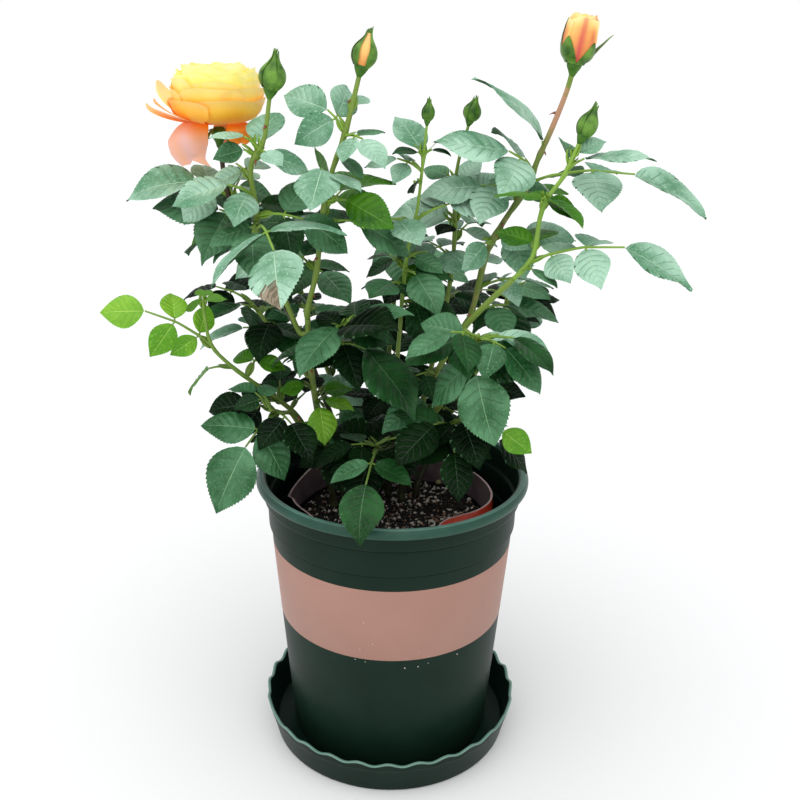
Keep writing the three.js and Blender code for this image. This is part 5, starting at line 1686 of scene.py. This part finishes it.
def build_saucer():
    """The saucer, whose rim waves in and out and up and down in scallops, and whose top edge takes a
    painted highlight.
    """
    rim = SAUCER_RIM_RADIUS
    waist = rim - 1.6
    knee = SAUCER_HEIGHT - 6
    outside = [(0, 0), (SAUCER_FOOT_RADIUS - 0.6, 0), (SAUCER_FOOT_RADIUS + 0.2, 0.9)]
    for share in (0.25, 0.5, 0.75, 1):
        outside.append((SAUCER_FOOT_RADIUS + (waist - SAUCER_FOOT_RADIUS) * share, knee * share))
    outside += [(waist + 0.5, knee + 0.6), (rim - 0.5, SAUCER_HEIGHT - 1.6), (rim, SAUCER_HEIGHT - 1),
                (rim, SAUCER_HEIGHT - 0.2), (rim - 0.7, SAUCER_HEIGHT)]
    inside = [
        (rim - SAUCER_WALL, SAUCER_HEIGHT - 0.3), (waist - SAUCER_WALL, knee),
        (SAUCER_FOOT_RADIUS - 1, SAUCER_FLOOR), (0, SAUCER_FLOOR),
    ]
    profile = rounded(outside + inside, 0.5, 2)
    wave_bottom = SAUCER_HEIGHT - 8

    def shift(point):
        share = np.clip((point[2] - wave_bottom) / (SAUCER_HEIGHT - wave_bottom), 0, 1)
        wave = math.cos(SCALLOPS * math.atan2(point[1], point[0])) * share
        radius = math.hypot(point[0], point[1])
        grown = (radius + SCALLOP_REACH * wave) / radius if radius > 0 else 1
        return vector(point[0] * grown, point[1] * grown, point[2] + SCALLOP_RISE * wave)

    store = Store()
    # The top of the rim takes a lighter look: a painted highlight
    slots = [int(height > SAUCER_HEIGHT - 0.9) for _, height in profile_steps(profile)]
    add_lathe(store, profile, SCALLOPS * SCALLOP_SEGMENTS, slots, shift)
    return store


def liner_shift(point):
    """The liner pushed in or out by its heading and height."""
    heading = math.atan2(point[1], point[0])
    share = np.clip((point[2] - LINER_FOOT) / (LINER_RIM - LINER_FOOT), 0, 1) ** 3
    folds = 2.4 * math.cos(2 * heading + 0.8) + 1.6 * math.cos(5 * heading + 2)
    dent = -8 * math.exp(-(((heading + 2.75) / 0.36) ** 2))
    radius = math.hypot(point[0], point[1])
    above = float(np.clip((point[2] - MIX_TOP) / (LINER_RIM - MIX_TOP), 0, 1))
    flap = FLAP_REACH * math.exp(-(((heading - FLAP_HEADING) / FLAP_SPREAD) ** 2)) * above
    moved = (folds + dent) * share * min(1, radius / 40) - flap
    grown = (radius + moved) / radius if radius > 1 else 1
    lean = 3.5 * math.sin(heading) + 2 * math.cos(3 * heading)
    return vector(point[0] * grown, point[1] * grown, point[2] + (lean * above if radius > 45 else 0))


def liner_radius(height):
    share = (height - LINER_FOOT) / (LINER_RIM - LINER_FOOT)
    return LINER_FOOT_RADIUS + (LINER_TOP_RADIUS - LINER_FOOT_RADIUS) * share


def build_liner():
    """The liner, whose outside shows its red on the flap alone: elsewhere it takes the dark inside look,
    painted shade in the gap by the pot's wall. Its rim takes a painted highlight and its top inner steps
    painted light.
    """
    floor = LINER_FOOT + LINER_FLOOR
    heights = [LINER_FOOT + 2, 60, 90, 120, 135, 145, 150, 153, 156, 159, 161.5, 164, LINER_RIM]
    outside = [(0, LINER_FOOT), (LINER_FOOT_RADIUS - 1, LINER_FOOT)]
    outside += [(liner_radius(height), height) for height in heights]
    inside = [(liner_radius(height) - LINER_WALL, height) for height in reversed(heights)]
    inside += [(LINER_FOOT_RADIUS - LINER_WALL, floor), (0, floor)]
    # The rim takes a painted highlight and the top inner steps painted light
    slots = [LINER_OUTSIDE] * (len(outside) - 2) + [LINER_PAINTED_HIGHLIGHT_EDGE] + [LINER_LIT] * LIT_STEPS
    slots += [LINER_INSIDE] * (len(inside) - 2 - LIT_STEPS)
    store = Store()
    add_lathe(store, outside + inside, LINER_SEGMENTS, slots, liner_shift)
    # Away from the flap the outside takes the dark inside look: painted shade
    for index in range((len(outside) - 1) * LINER_SEGMENTS):
        heading = 2 * math.pi * (index % LINER_SEGMENTS + 0.5) / LINER_SEGMENTS
        gap = (heading - FLAP_HEADING + math.pi) % (2 * math.pi) - math.pi
        if store.slots[index] == LINER_OUTSIDE and abs(gap) > 2 * FLAP_SPREAD:
            store.slots[index] = LINER_INSIDE
    return store


def ground_rise(x, y):
    """The height of the mix's crumbly top over its mean."""
    low = math.sin(0.11 * x + 1) * math.cos(0.13 * y) + 0.6 * math.sin(0.31 * x - 0.27 * y)
    high = math.sin(0.9 * x + 0.4 * y) * math.cos(1.1 * y - 0.5 * x)
    high += math.sin(2.1 * x) * math.sin(1.9 * y + 1)
    return 0.55 * low + 0.3 * high


def add_grain(store, place, size, slot, random):
    """A rough grain of eight bulging sides."""
    corners = [vector(1, 0, 0), vector(-1, 0, 0), vector(0, 1, 0), vector(0, -1, 0), UP, -UP]
    sides = [(0, 2, 4), (2, 1, 4), (1, 3, 4), (3, 0, 4), (2, 0, 5), (1, 2, 5), (3, 1, 5), (0, 3, 5)]
    points = [place + size * corner * (0.6 + 0.6 * random()) for corner in corners]
    middles = {}
    faces = []
    for a, b, c in sides:
        ring = []
        for p, q in ((a, b), (b, c), (c, a)):
            key = (min(p, q), max(p, q))
            if key not in middles:
                middles[key] = len(points)
                points.append(place + ((points[p] + points[q]) / 2 - place) * (1.2 + 0.3 * random()))
            ring.append(middles[key])
        ab, bc, ca = ring
        faces += [[a, ab, ca], [b, bc, ab], [c, ca, bc], [ab, bc, ca]]
    store.add(points, faces, slot)


def on_mix(x, y, size):
    """The place of a grain of some size on the mix's top."""
    place = liner_shift(vector(x, y, MIX_TOP))
    place[2] = MIX_TOP + ground_rise(place[0], place[1]) + 0.35 * size
    return place


def build_mix():
    """The mix: its closed body with a crumbly top, its grains and straws, and specks on the pot."""
    gap = LINER_WALL + MIX_SIDE_GAP
    foot = LINER_FOOT + LINER_FLOOR + SEAT
    edge = liner_radius(MIX_TOP) - gap
    profile = [(0, foot), (LINER_FOOT_RADIUS - gap, foot), (liner_radius(90) - gap, 90)]
    profile += [(edge, MIX_TOP - 1)]
    profile += [(edge * share, MIX_TOP) for share in np.linspace(0.985, 0.02, MIX_RINGS)]
    profile += [(0, MIX_TOP)]

    def shift(point):
        moved = liner_shift(point)
        if point[2] > MIX_TOP - 0.5:
            moved[2] = MIX_TOP + ground_rise(moved[0], moved[1])
        return moved

    store = Store()
    add_lathe(store, profile, MIX_SEGMENTS, [0] * len(profile_steps(profile)), shift)
    random = seeded(MIX_SEED)
    grains = Store()
    for _ in range(GRAINS):
        radius = edge * math.sqrt(random()) * 0.97
        angle = 2 * math.pi * random()
        kind = random()
        size = 0.35 + 1.2 * random() ** 2.2 if kind < 0.6 else 0.6 + 1.2 * random()
        slot = PALE_GRAIN if kind < 0.46 else BROWN_GRAIN if kind < 0.6 else DARK_GRAIN
        place = on_mix(radius * math.cos(angle), radius * math.sin(angle), size)
        add_grain(grains, place, size, slot, random)
    add_grain(grains, on_mix(*CHIP, CHIP_SIZE), CHIP_SIZE, CHIP_GRAIN, random)
    for _ in range(STRAWS):
        radius = edge * 0.8 * math.sqrt(random())
        angle = 2 * math.pi * random()
        heading = 360 * random()
        length = 10 + 26 * random()
        start = vector(radius * math.cos(angle), radius * math.sin(angle), 0)
        run = []
        for share in np.linspace(-0.5, 0.5, 7):
            place = start + direction(heading + 30 * share, 0) * share * length
            place *= min(1, (edge - 3) / max(np.linalg.norm(place), 1))
            run.append(on_mix(place[0], place[1], 0.5) + UP * (0.5 + 1.5 * (0.25 - share ** 2)))
        add_tube(grains, run, [STRAW_RADIUS] * len(run), STRAW_SIDES, STRAW)
    for _ in range(SPECKS):
        angle = math.radians(-88 + 58 * (random() - 0.35))
        height = BAND_BOTTOM - 6 + 40 * random() ** 1.6
        size = 0.25 + 0.25 * random()
        radius = wall_radius(height) + BAND_THICKNESS
        place = vector(radius * math.cos(angle), radius * math.sin(angle), height)
        add_grain(grains, place, size, PALE_GRAIN, random)
    return store, grains


# Materials


def new_material(name, colour, roughness, **values):
    """A material and its shader, with plain values on the shader's own sockets."""
    material = bpy.data.materials.new(name)
    material.use_nodes = True
    shader = material.node_tree.nodes["Principled BSDF"]
    shader.inputs["Base Color"].default_value = (*colour, 1)
    shader.inputs["Roughness"].default_value = roughness
    for label, value in values.items():
        shader.inputs[label.replace("_", " ")].default_value = value
    return material, material.node_tree, shader


def srgb(red, green, blue):
    """A colour given as a screen shows it, from 0 to 255."""
    return tuple(
        value / 12.92 if value <= 0.04045 else ((value + 0.055) / 1.055) ** 2.4
        for value in (channel / 255 for channel in (red, green, blue))
    )


def add_node(tree, kind, sockets=None, **settings):
    """A node with its settings, and its sockets linked to others or given plain values."""
    node = tree.nodes.new("ShaderNode" + kind)
    for label, value in settings.items():
        setattr(node, label, value)
    for socket, value in (sockets or {}).items():
        if isinstance(value, bpy.types.NodeSocket):
            tree.links.new(value, node.inputs[socket])
        else:
            node.inputs[socket].default_value = value
    return node


def add_noise(tree, scale, detail=4):
    place = add_node(tree, "TexCoord").outputs["Object"]
    noise = add_node(tree, "TexNoise", {"Scale": scale, "Detail": detail, "Vector": place})
    return noise.outputs["Fac"]


def add_drift(tree, source, scale, detail, amount):
    """A value that noise moves up and down by half an amount."""
    moves = {0: add_noise(tree, scale, detail), 1: amount, 2: -amount / 2}
    drift = add_node(tree, "Math", moves, operation="MULTIPLY_ADD").outputs["Value"]
    total = add_node(tree, "Math", {0: source, 1: drift}, operation="ADD", use_clamp=True)
    return total.outputs["Value"]


def add_ramp(tree, source, stops):
    ramp = add_node(tree, "ValToRGB", {"Fac": source})
    elements = ramp.color_ramp.elements
    while len(elements) < len(stops):
        elements.new(0.5)
    for element, (place, colour) in zip(elements, stops):
        element.position = place
        element.color = (*colour, 1)
    return ramp.outputs["Color"]


def add_mix(tree, factor, first, second):
    """A first colour that goes over to a second, plain one."""
    sockets = {"Factor": factor, "A": first, "B": (*second, 1)}
    return add_node(tree, "Mix", sockets, data_type="RGBA").outputs["Result"]


def add_bump(tree, shader, source, strength, distance):
    bump = add_node(tree, "Bump", {"Strength": strength, "Distance": distance, "Height": source})
    tree.links.new(bump.outputs["Normal"], shader.inputs["Normal"])


def mottled(name, dark, light, scale, roughness, bump=0.2, distance=0.0004, **values):
    """A material whose colour drifts between two, with a fine bump."""
    dark, light = srgb(*dark), srgb(*light)
    material, tree, shader = new_material(name, light, roughness, **values)
    colour = add_ramp(tree, add_noise(tree, scale), [(0.3, dark), (0.7, light)])
    tree.links.new(colour, shader.inputs["Base Color"])
    add_bump(tree, shader, add_noise(tree, scale * 6, 3), bump, distance)
    return material


# Tones of leaves, from painted shade to painted light and then the young ones: name, dark and light of
# the face, colour of the midrib, and how much it shines
LEAF_COLOURS = [
    ("leaf_painted_light_level_0", (2, 17, 3), (10, 38, 10), (26, 58, 26), 0.05),
    ("leaf_painted_light_level_1", (10, 46, 14), (34, 84, 38), (58, 102, 56), 0.16),
    ("leaf_painted_light_level_2", (32, 86, 42), (86, 138, 96), (110, 152, 108), 0.3),
    ("leaf_painted_light_level_3", (86, 142, 104), (166, 206, 180), (172, 206, 174), 0.4),
    ("leaf_young_0", (34, 92, 6), (78, 138, 24), (112, 160, 58), 0.25),
    ("leaf_young_1", (84, 148, 18), (134, 188, 50), (168, 208, 88), 0.3),
]


def leaf_look(name, dark, light, shine):
    """A leaf's face: its colour drifts widely, partly its own mottling and partly painted sheen, with
    fine pale flecks of dust and of painted sheen.
    """
    dark, light = srgb(*dark), srgb(*light)
    material, tree, shader = new_material(name, light, 0.4, Specular_IOR_Level=shine)
    face = add_ramp(tree, add_noise(tree, 42, 6), [(0.36, dark), (0.62, light)])
    dust_and_painted_sheen_flecks = add_ramp(tree, add_noise(tree, 800), [(0.54, (0, 0, 0)), (0.76, (0.6, 0.6, 0.6))])
    pale = [min(1, value * 1.3 + 0.02) for value in light]
    tree.links.new(add_mix(tree, dust_and_painted_sheen_flecks, face, pale), shader.inputs["Base Color"])
    add_bump(tree, shader, add_noise(tree, 420), 0.35, 0.0005)
    return material


def leaf_materials():
    """The looks of the faces by tone, then of the midribs and the side veins, and then the rest."""
    faces, midribs, side_veins = [], [], []
    for name, dark, light, midrib, shine in LEAF_COLOURS:
        faces.append(leaf_look(name, dark, light, shine))
        midribs.append(mottled(name + "_vein", midrib, [value + 14 for value in midrib], 120, 0.5))
        # The side veins' look runs from darker than the face to its middle: painted shade in the grooves
        groove_shade = [value * 0.86 for value in dark]
        middle = [(a + b) / 2 for a, b in zip(dark, light)]
        side_veins.append(mottled(name + "_groove_painted_shade", groove_shade, middle, 60, 0.5))
    return faces + midribs + side_veins + [
        # The undersides are kept darker than the pale tones: painted shade beneath the leaves
        mottled("leaf_under", (52, 88, 56), (74, 110, 76), 90, 0.6, Specular_IOR_Level=0.15),
        mottled("leaf_under_young", (92, 146, 50), (116, 168, 70), 90, 0.6, Specular_IOR_Level=0.2),
        mottled("leaf_dry", (128, 114, 92), (160, 146, 124), 160, 0.7),
        mottled("leaf_withered", (88, 80, 62), (120, 108, 86), 160, 0.7),
    ]


def bark(name, low, high, bottom, top, tip=None):
    """Bark whose colour runs from one to another with height, and on to that of the tip."""
    material, tree, shader = new_material(name, srgb(*high), 0.5)
    split = add_node(tree, "SeparateXYZ", {"Vector": add_node(tree, "TexCoord").outputs["Object"]})
    span = {"From Min": bottom * MM, "From Max": top * MM, "Value": split.outputs["Z"]}
    share = add_drift(tree, add_node(tree, "MapRange", span).outputs["Result"], 160, 4, 0.7)
    stops = [(0, low), (1, high)] if tip is None else [(0, low), (0.35, high), (0.7, high), (0.9, tip)]
    colour = add_ramp(tree, share, [(place, srgb(*tone)) for place, tone in stops])
    tree.links.new(colour, shader.inputs["Base Color"])
    add_bump(tree, shader, add_noise(tree, 500, 5), 0.5, 0.0004)
    return material


def bark_materials():
    return [
        bark("bark_green", (46, 46, 26), (118, 146, 52), 165, 275),
        bark("bark_brown", (58, 62, 34), (62, 44, 26), 200, 400),
        bark("bark_pink", (112, 134, 52), (190, 142, 110), 381, 424, (112, 142, 44)),
        bark("bark_young", (90, 120, 40), (132, 172, 60), 230, 330),
        mottled("thorn", (120, 60, 40), (150, 90, 60), 300, 0.45),
    ]


# Painted glow: light that the petals give off, as a share of their colour, standing in for light that
# comes through a petal
PETAL_PAINTED_GLOW = 0.12

# Colours of petals from the palest to the warmest
YELLOW_STOPS = [(0, (252, 246, 182)), (0.25, (251, 235, 116)), (0.5, (252, 204, 62)),
                (0.75, (249, 164, 20)), (1, (240, 124, 8))]
PEACH_STOPS = [(0, (250, 226, 156)), (0.35, (245, 200, 112)), (0.7, (232, 152, 78)), (1, (212, 106, 54))]


def petal_material(name, stops, blush):
    """Petals by how warm they are, blushed where the mesh says so, with a painted glow."""
    stops = [(place, srgb(*tone)) for place, tone in stops]
    material, tree, shader = new_material(name, stops[0][1], 0.55, Sheen_Weight=0.15)
    # The petals give off light of their own colour: a painted glow
    shader.inputs["Emission Strength"].default_value = PETAL_PAINTED_GLOW
    warm = add_node(tree, "Attribute", attribute_name="warm").outputs["Fac"]
    plain = add_ramp(tree, add_drift(tree, warm, 120, 3, 0.16), stops)
    pink = add_node(tree, "Attribute", attribute_name="blush").outputs["Fac"]
    colour = add_mix(tree, pink, plain, srgb(*blush))
    tree.links.new(colour, shader.inputs["Base Color"])
    tree.links.new(colour, shader.inputs["Emission Color"])
    add_bump(tree, shader, add_noise(tree, 260, 3), 0.15, 0.0005)
    return material


def flower_materials(stops, blush, name):
    return [
        mottled(name + "_sepal", (38, 82, 16), (112, 158, 60), 150, 0.45, 0.3, Specular_IOR_Level=0.3),
        petal_material(name + "_petal", stops, blush),
        mottled(name + "_hip", (44, 92, 20), (84, 132, 40), 220, 0.45, 0.3, Specular_IOR_Level=0.3),
    ]


def build_heads(masses):
    """The buds and the flowers, each by its mass."""
    buds, opening, bloom = Store(), Store(), Store()
    for mass in masses:
        head = mass["plan"].get("head")
        if not head:
            continue
        before, tip = mass["run"][-2:]
        along = unit(tip - before)
        name = mass["plan"]["name"]
        if name == "bloom":
            add_bloom(bloom, tip, BLOOM_SEED)
        elif name == "open_bud":
            along = unit(along + vector(*OPENING_LEAN))
            add_opening_bud(opening, tip, along, head["width"], head["length"], OPENING_SEED)
        else:
            opened = name == "bud_centre"
            add_bud(buds, tip, along, head["width"], head["length"], opened, BUD_SEEDS[name])
    return buds, opening, bloom


def stalk_base(mass, leaf_made):
    """Where a stalk leaves the fine stem, or its place in the solids if that isn't near."""
    base = place_on_run(mass["fine"], leaf_made["share"])[0]
    start = leaf_made["centres"][0]
    return base if np.linalg.norm(base - start) < STALK_SHIFT else start


# The plant

limbs, masses, low_leaves = grow_plant()
barks = bark_materials()
canes, stems = build_canes(limbs, masses)
make_piece("canes", canes, barks, list(limbs))
make_piece("mass_stems", stems, barks)

leaf_looks = leaf_materials()
stalks = Store()
for number in range(LEAF_PIECES):
    blades = Store()
    group = masses[number::LEAF_PIECES]
    for mass in group:
        random = seeded(TONE_SEED + mass["plan"]["deal"]["seed"])
        for leaf_made in mass["leaves"]:
            tone = leaf_tone(mass, leaf_made, random)
            add_stalk(stalks, leaf_made, stalk_base(mass, leaf_made), BARK_YOUNG)
            for leaflet in leaf_made["leaflets"]:
                own_tone = leaflet_tone(tone, random)
                add_leaflet(blades, leaflet, own_tone, random, leaf_made["dry"] and leaflet["last"])
    owners = [mass["owner"] for mass in group]
    make_piece(f"leaves_{number + 1}", blades, leaf_looks, owners, LEAF_SHARP)

blades = Store()
random = seeded(LOW_TONE_SEED)
for leaf_made in low_leaves:
    tone = leaf_made["tone"]
    if tone is None:
        # Mostly the dark tones: painted shade low in the crown
        tone = int(FIRST_YOUNG * random() ** LOW_TONE_POWER)
    add_stalk(stalks, leaf_made, leaf_made["base"], BARK_YOUNG)
    for leaflet in leaf_made["leaflets"]:
        add_leaflet(blades, leaflet, tone, random)
make_piece("leaves_low", blades, leaf_looks, sharp=LEAF_SHARP)
make_piece("leaf_stalks", stalks, barks)

buds, opening, bloom = build_heads(masses)
bud_looks = flower_materials(PEACH_STOPS, (214, 92, 50), "bud")
opening_looks = flower_materials(PEACH_STOPS, (206, 66, 72), "opening")
bloom_looks = flower_materials(YELLOW_STOPS, (227, 174, 164), "bloom")
make_piece("buds", buds, bud_looks, sharp=SHARP)
make_piece("opening_flower", opening, opening_looks, sharp=SHARP)
make_piece("bloom", bloom, bloom_looks, sharp=SHARP)

# The pot and what is in it and under it

# The lip's and the top edge's looks are the wall's plastic made lighter: painted light and a painted
# highlight
pot_looks = [
    mottled("pot_plastic", (17, 37, 28), (22, 43, 33), 40, 0.42, 0.12, Specular_IOR_Level=0.1),
    mottled("pot_lip_painted_light", (36, 70, 58), (47, 83, 70), 60, 0.36, 0.12, Specular_IOR_Level=0.2),
    mottled("pot_edge_painted_highlight", (70, 106, 94), (90, 128, 116), 60, 0.36, 0.12, Specular_IOR_Level=0.3),
]
make_piece("pot_body", build_pot(), pot_looks, ["pot"], SHARP)
band_look = mottled("band_print", (158, 116, 102), (168, 126, 111), 14, 0.5)
make_piece("pot_band", build_band(), [band_look], sharp=SHARP)
# The rim's lighter look is the same plastic with a painted highlight
saucer_looks = [
    mottled("saucer_plastic", (15, 33, 26), (20, 40, 32), 40, 0.36, 0.12, Specular_IOR_Level=0.08),
    mottled("saucer_rim_painted_highlight", (96, 134, 120), (112, 148, 134), 60, 0.4, 0.12),
]
make_piece("saucer_body", build_saucer(), saucer_looks, ["saucer"], SHARP)
# The band is painted light and the rim a painted highlight; the outside's dark look away from the flap
# is painted shade
liner_looks = [
    mottled("liner_outside", (172, 48, 26), (196, 62, 36), 60, 0.5),
    mottled("liner_inside", (16, 13, 15), (30, 24, 28), 60, 0.4),
    mottled("liner_lit_band_painted_light", (92, 76, 82), (126, 108, 112), 60, 0.4),
    mottled("liner_rim_painted_highlight", (176, 148, 148), (200, 172, 170), 60, 0.45),
]
make_piece("liner_body", build_liner(), liner_looks, ["nursery_liner"], SHARP)
mix, grains = build_mix()
soil_look = mottled("mix_soil", (9, 7, 6), (30, 23, 19), 700, 0.95, 1, 0.0015)
make_piece("mix_body", mix, [soil_look], ["potting_mix"])
grain_looks = [
    mottled("grain_pale", (178, 168, 158), (222, 212, 202), 400, 0.9),
    mottled("grain_brown", (104, 76, 58), (144, 110, 86), 400, 0.9),
    mottled("grain_dark", (14, 11, 9), (34, 27, 22), 400, 0.95),
    mottled("grain_chip", (180, 176, 110), (206, 202, 140), 300, 0.8),
    mottled("straw", (118, 100, 86), (150, 132, 116), 200, 0.8),
]
make_piece("mix_grains", grains, grain_looks)

# Floor, light and camera

corners = [vector(x * FLOOR_HALF, y * FLOOR_HALF, -FLOOR_DROP)
           for x, y in ((-1, -1), (1, -1), (1, 1), (-1, 1))]
floor_mesh = bpy.data.meshes.new("floor")
floor_mesh.from_pydata([tuple(corner * MM) for corner in corners], [], [(0, 1, 2, 3)])
floor_mesh.materials.append(new_material("floor_white", (0.9, 0.9, 0.9), 0.9)[0])
add_object("floor", floor_mesh)

world = bpy.data.worlds.new("studio")
world.use_nodes = True
world_tree = world.node_tree
sky = world_tree.nodes["Background"]
sky.inputs["Strength"].default_value = 1
way = add_node(world_tree, "TexCoord").outputs["Generated"]
rise = add_node(world_tree, "SeparateXYZ", {"Vector": way}).outputs["Z"]
share = add_node(world_tree, "MapRange", {"From Min": -1, "Value": rise}).outputs["Result"]
world_tree.links.new(add_ramp(world_tree, share, SKY_STOPS), sky.inputs["Color"])
bpy.context.scene.world = world

light = bpy.data.lights.new("overhead", "SUN")
light.energy = SUN_POWER
light.angle = math.radians(SUN_SPREAD)
sun = add_object("overhead", light)
sun.location = [value * MM for value in SUN_PLACE]
aim = Vector(SUN_AIM) - Vector(SUN_PLACE)
sun.rotation_euler = aim.to_track_quat("-Z", "Y").to_euler()

camera = add_object("camera", bpy.data.cameras.new("camera"))
camera.data.lens = CAMERA_LENS
camera.data.sensor_width = CAMERA_SENSOR
camera.location = [value * MM for value in CAMERA_PLACE]
camera.rotation_euler = (math.radians(90 - CAMERA_PITCH), 0, 0)
camera.rotation_euler.rotate_axis("Z", math.radians(CAMERA_ROLL))
bpy.context.scene.camera = camera
bpy.context.scene.view_settings.view_transform = "Standard"
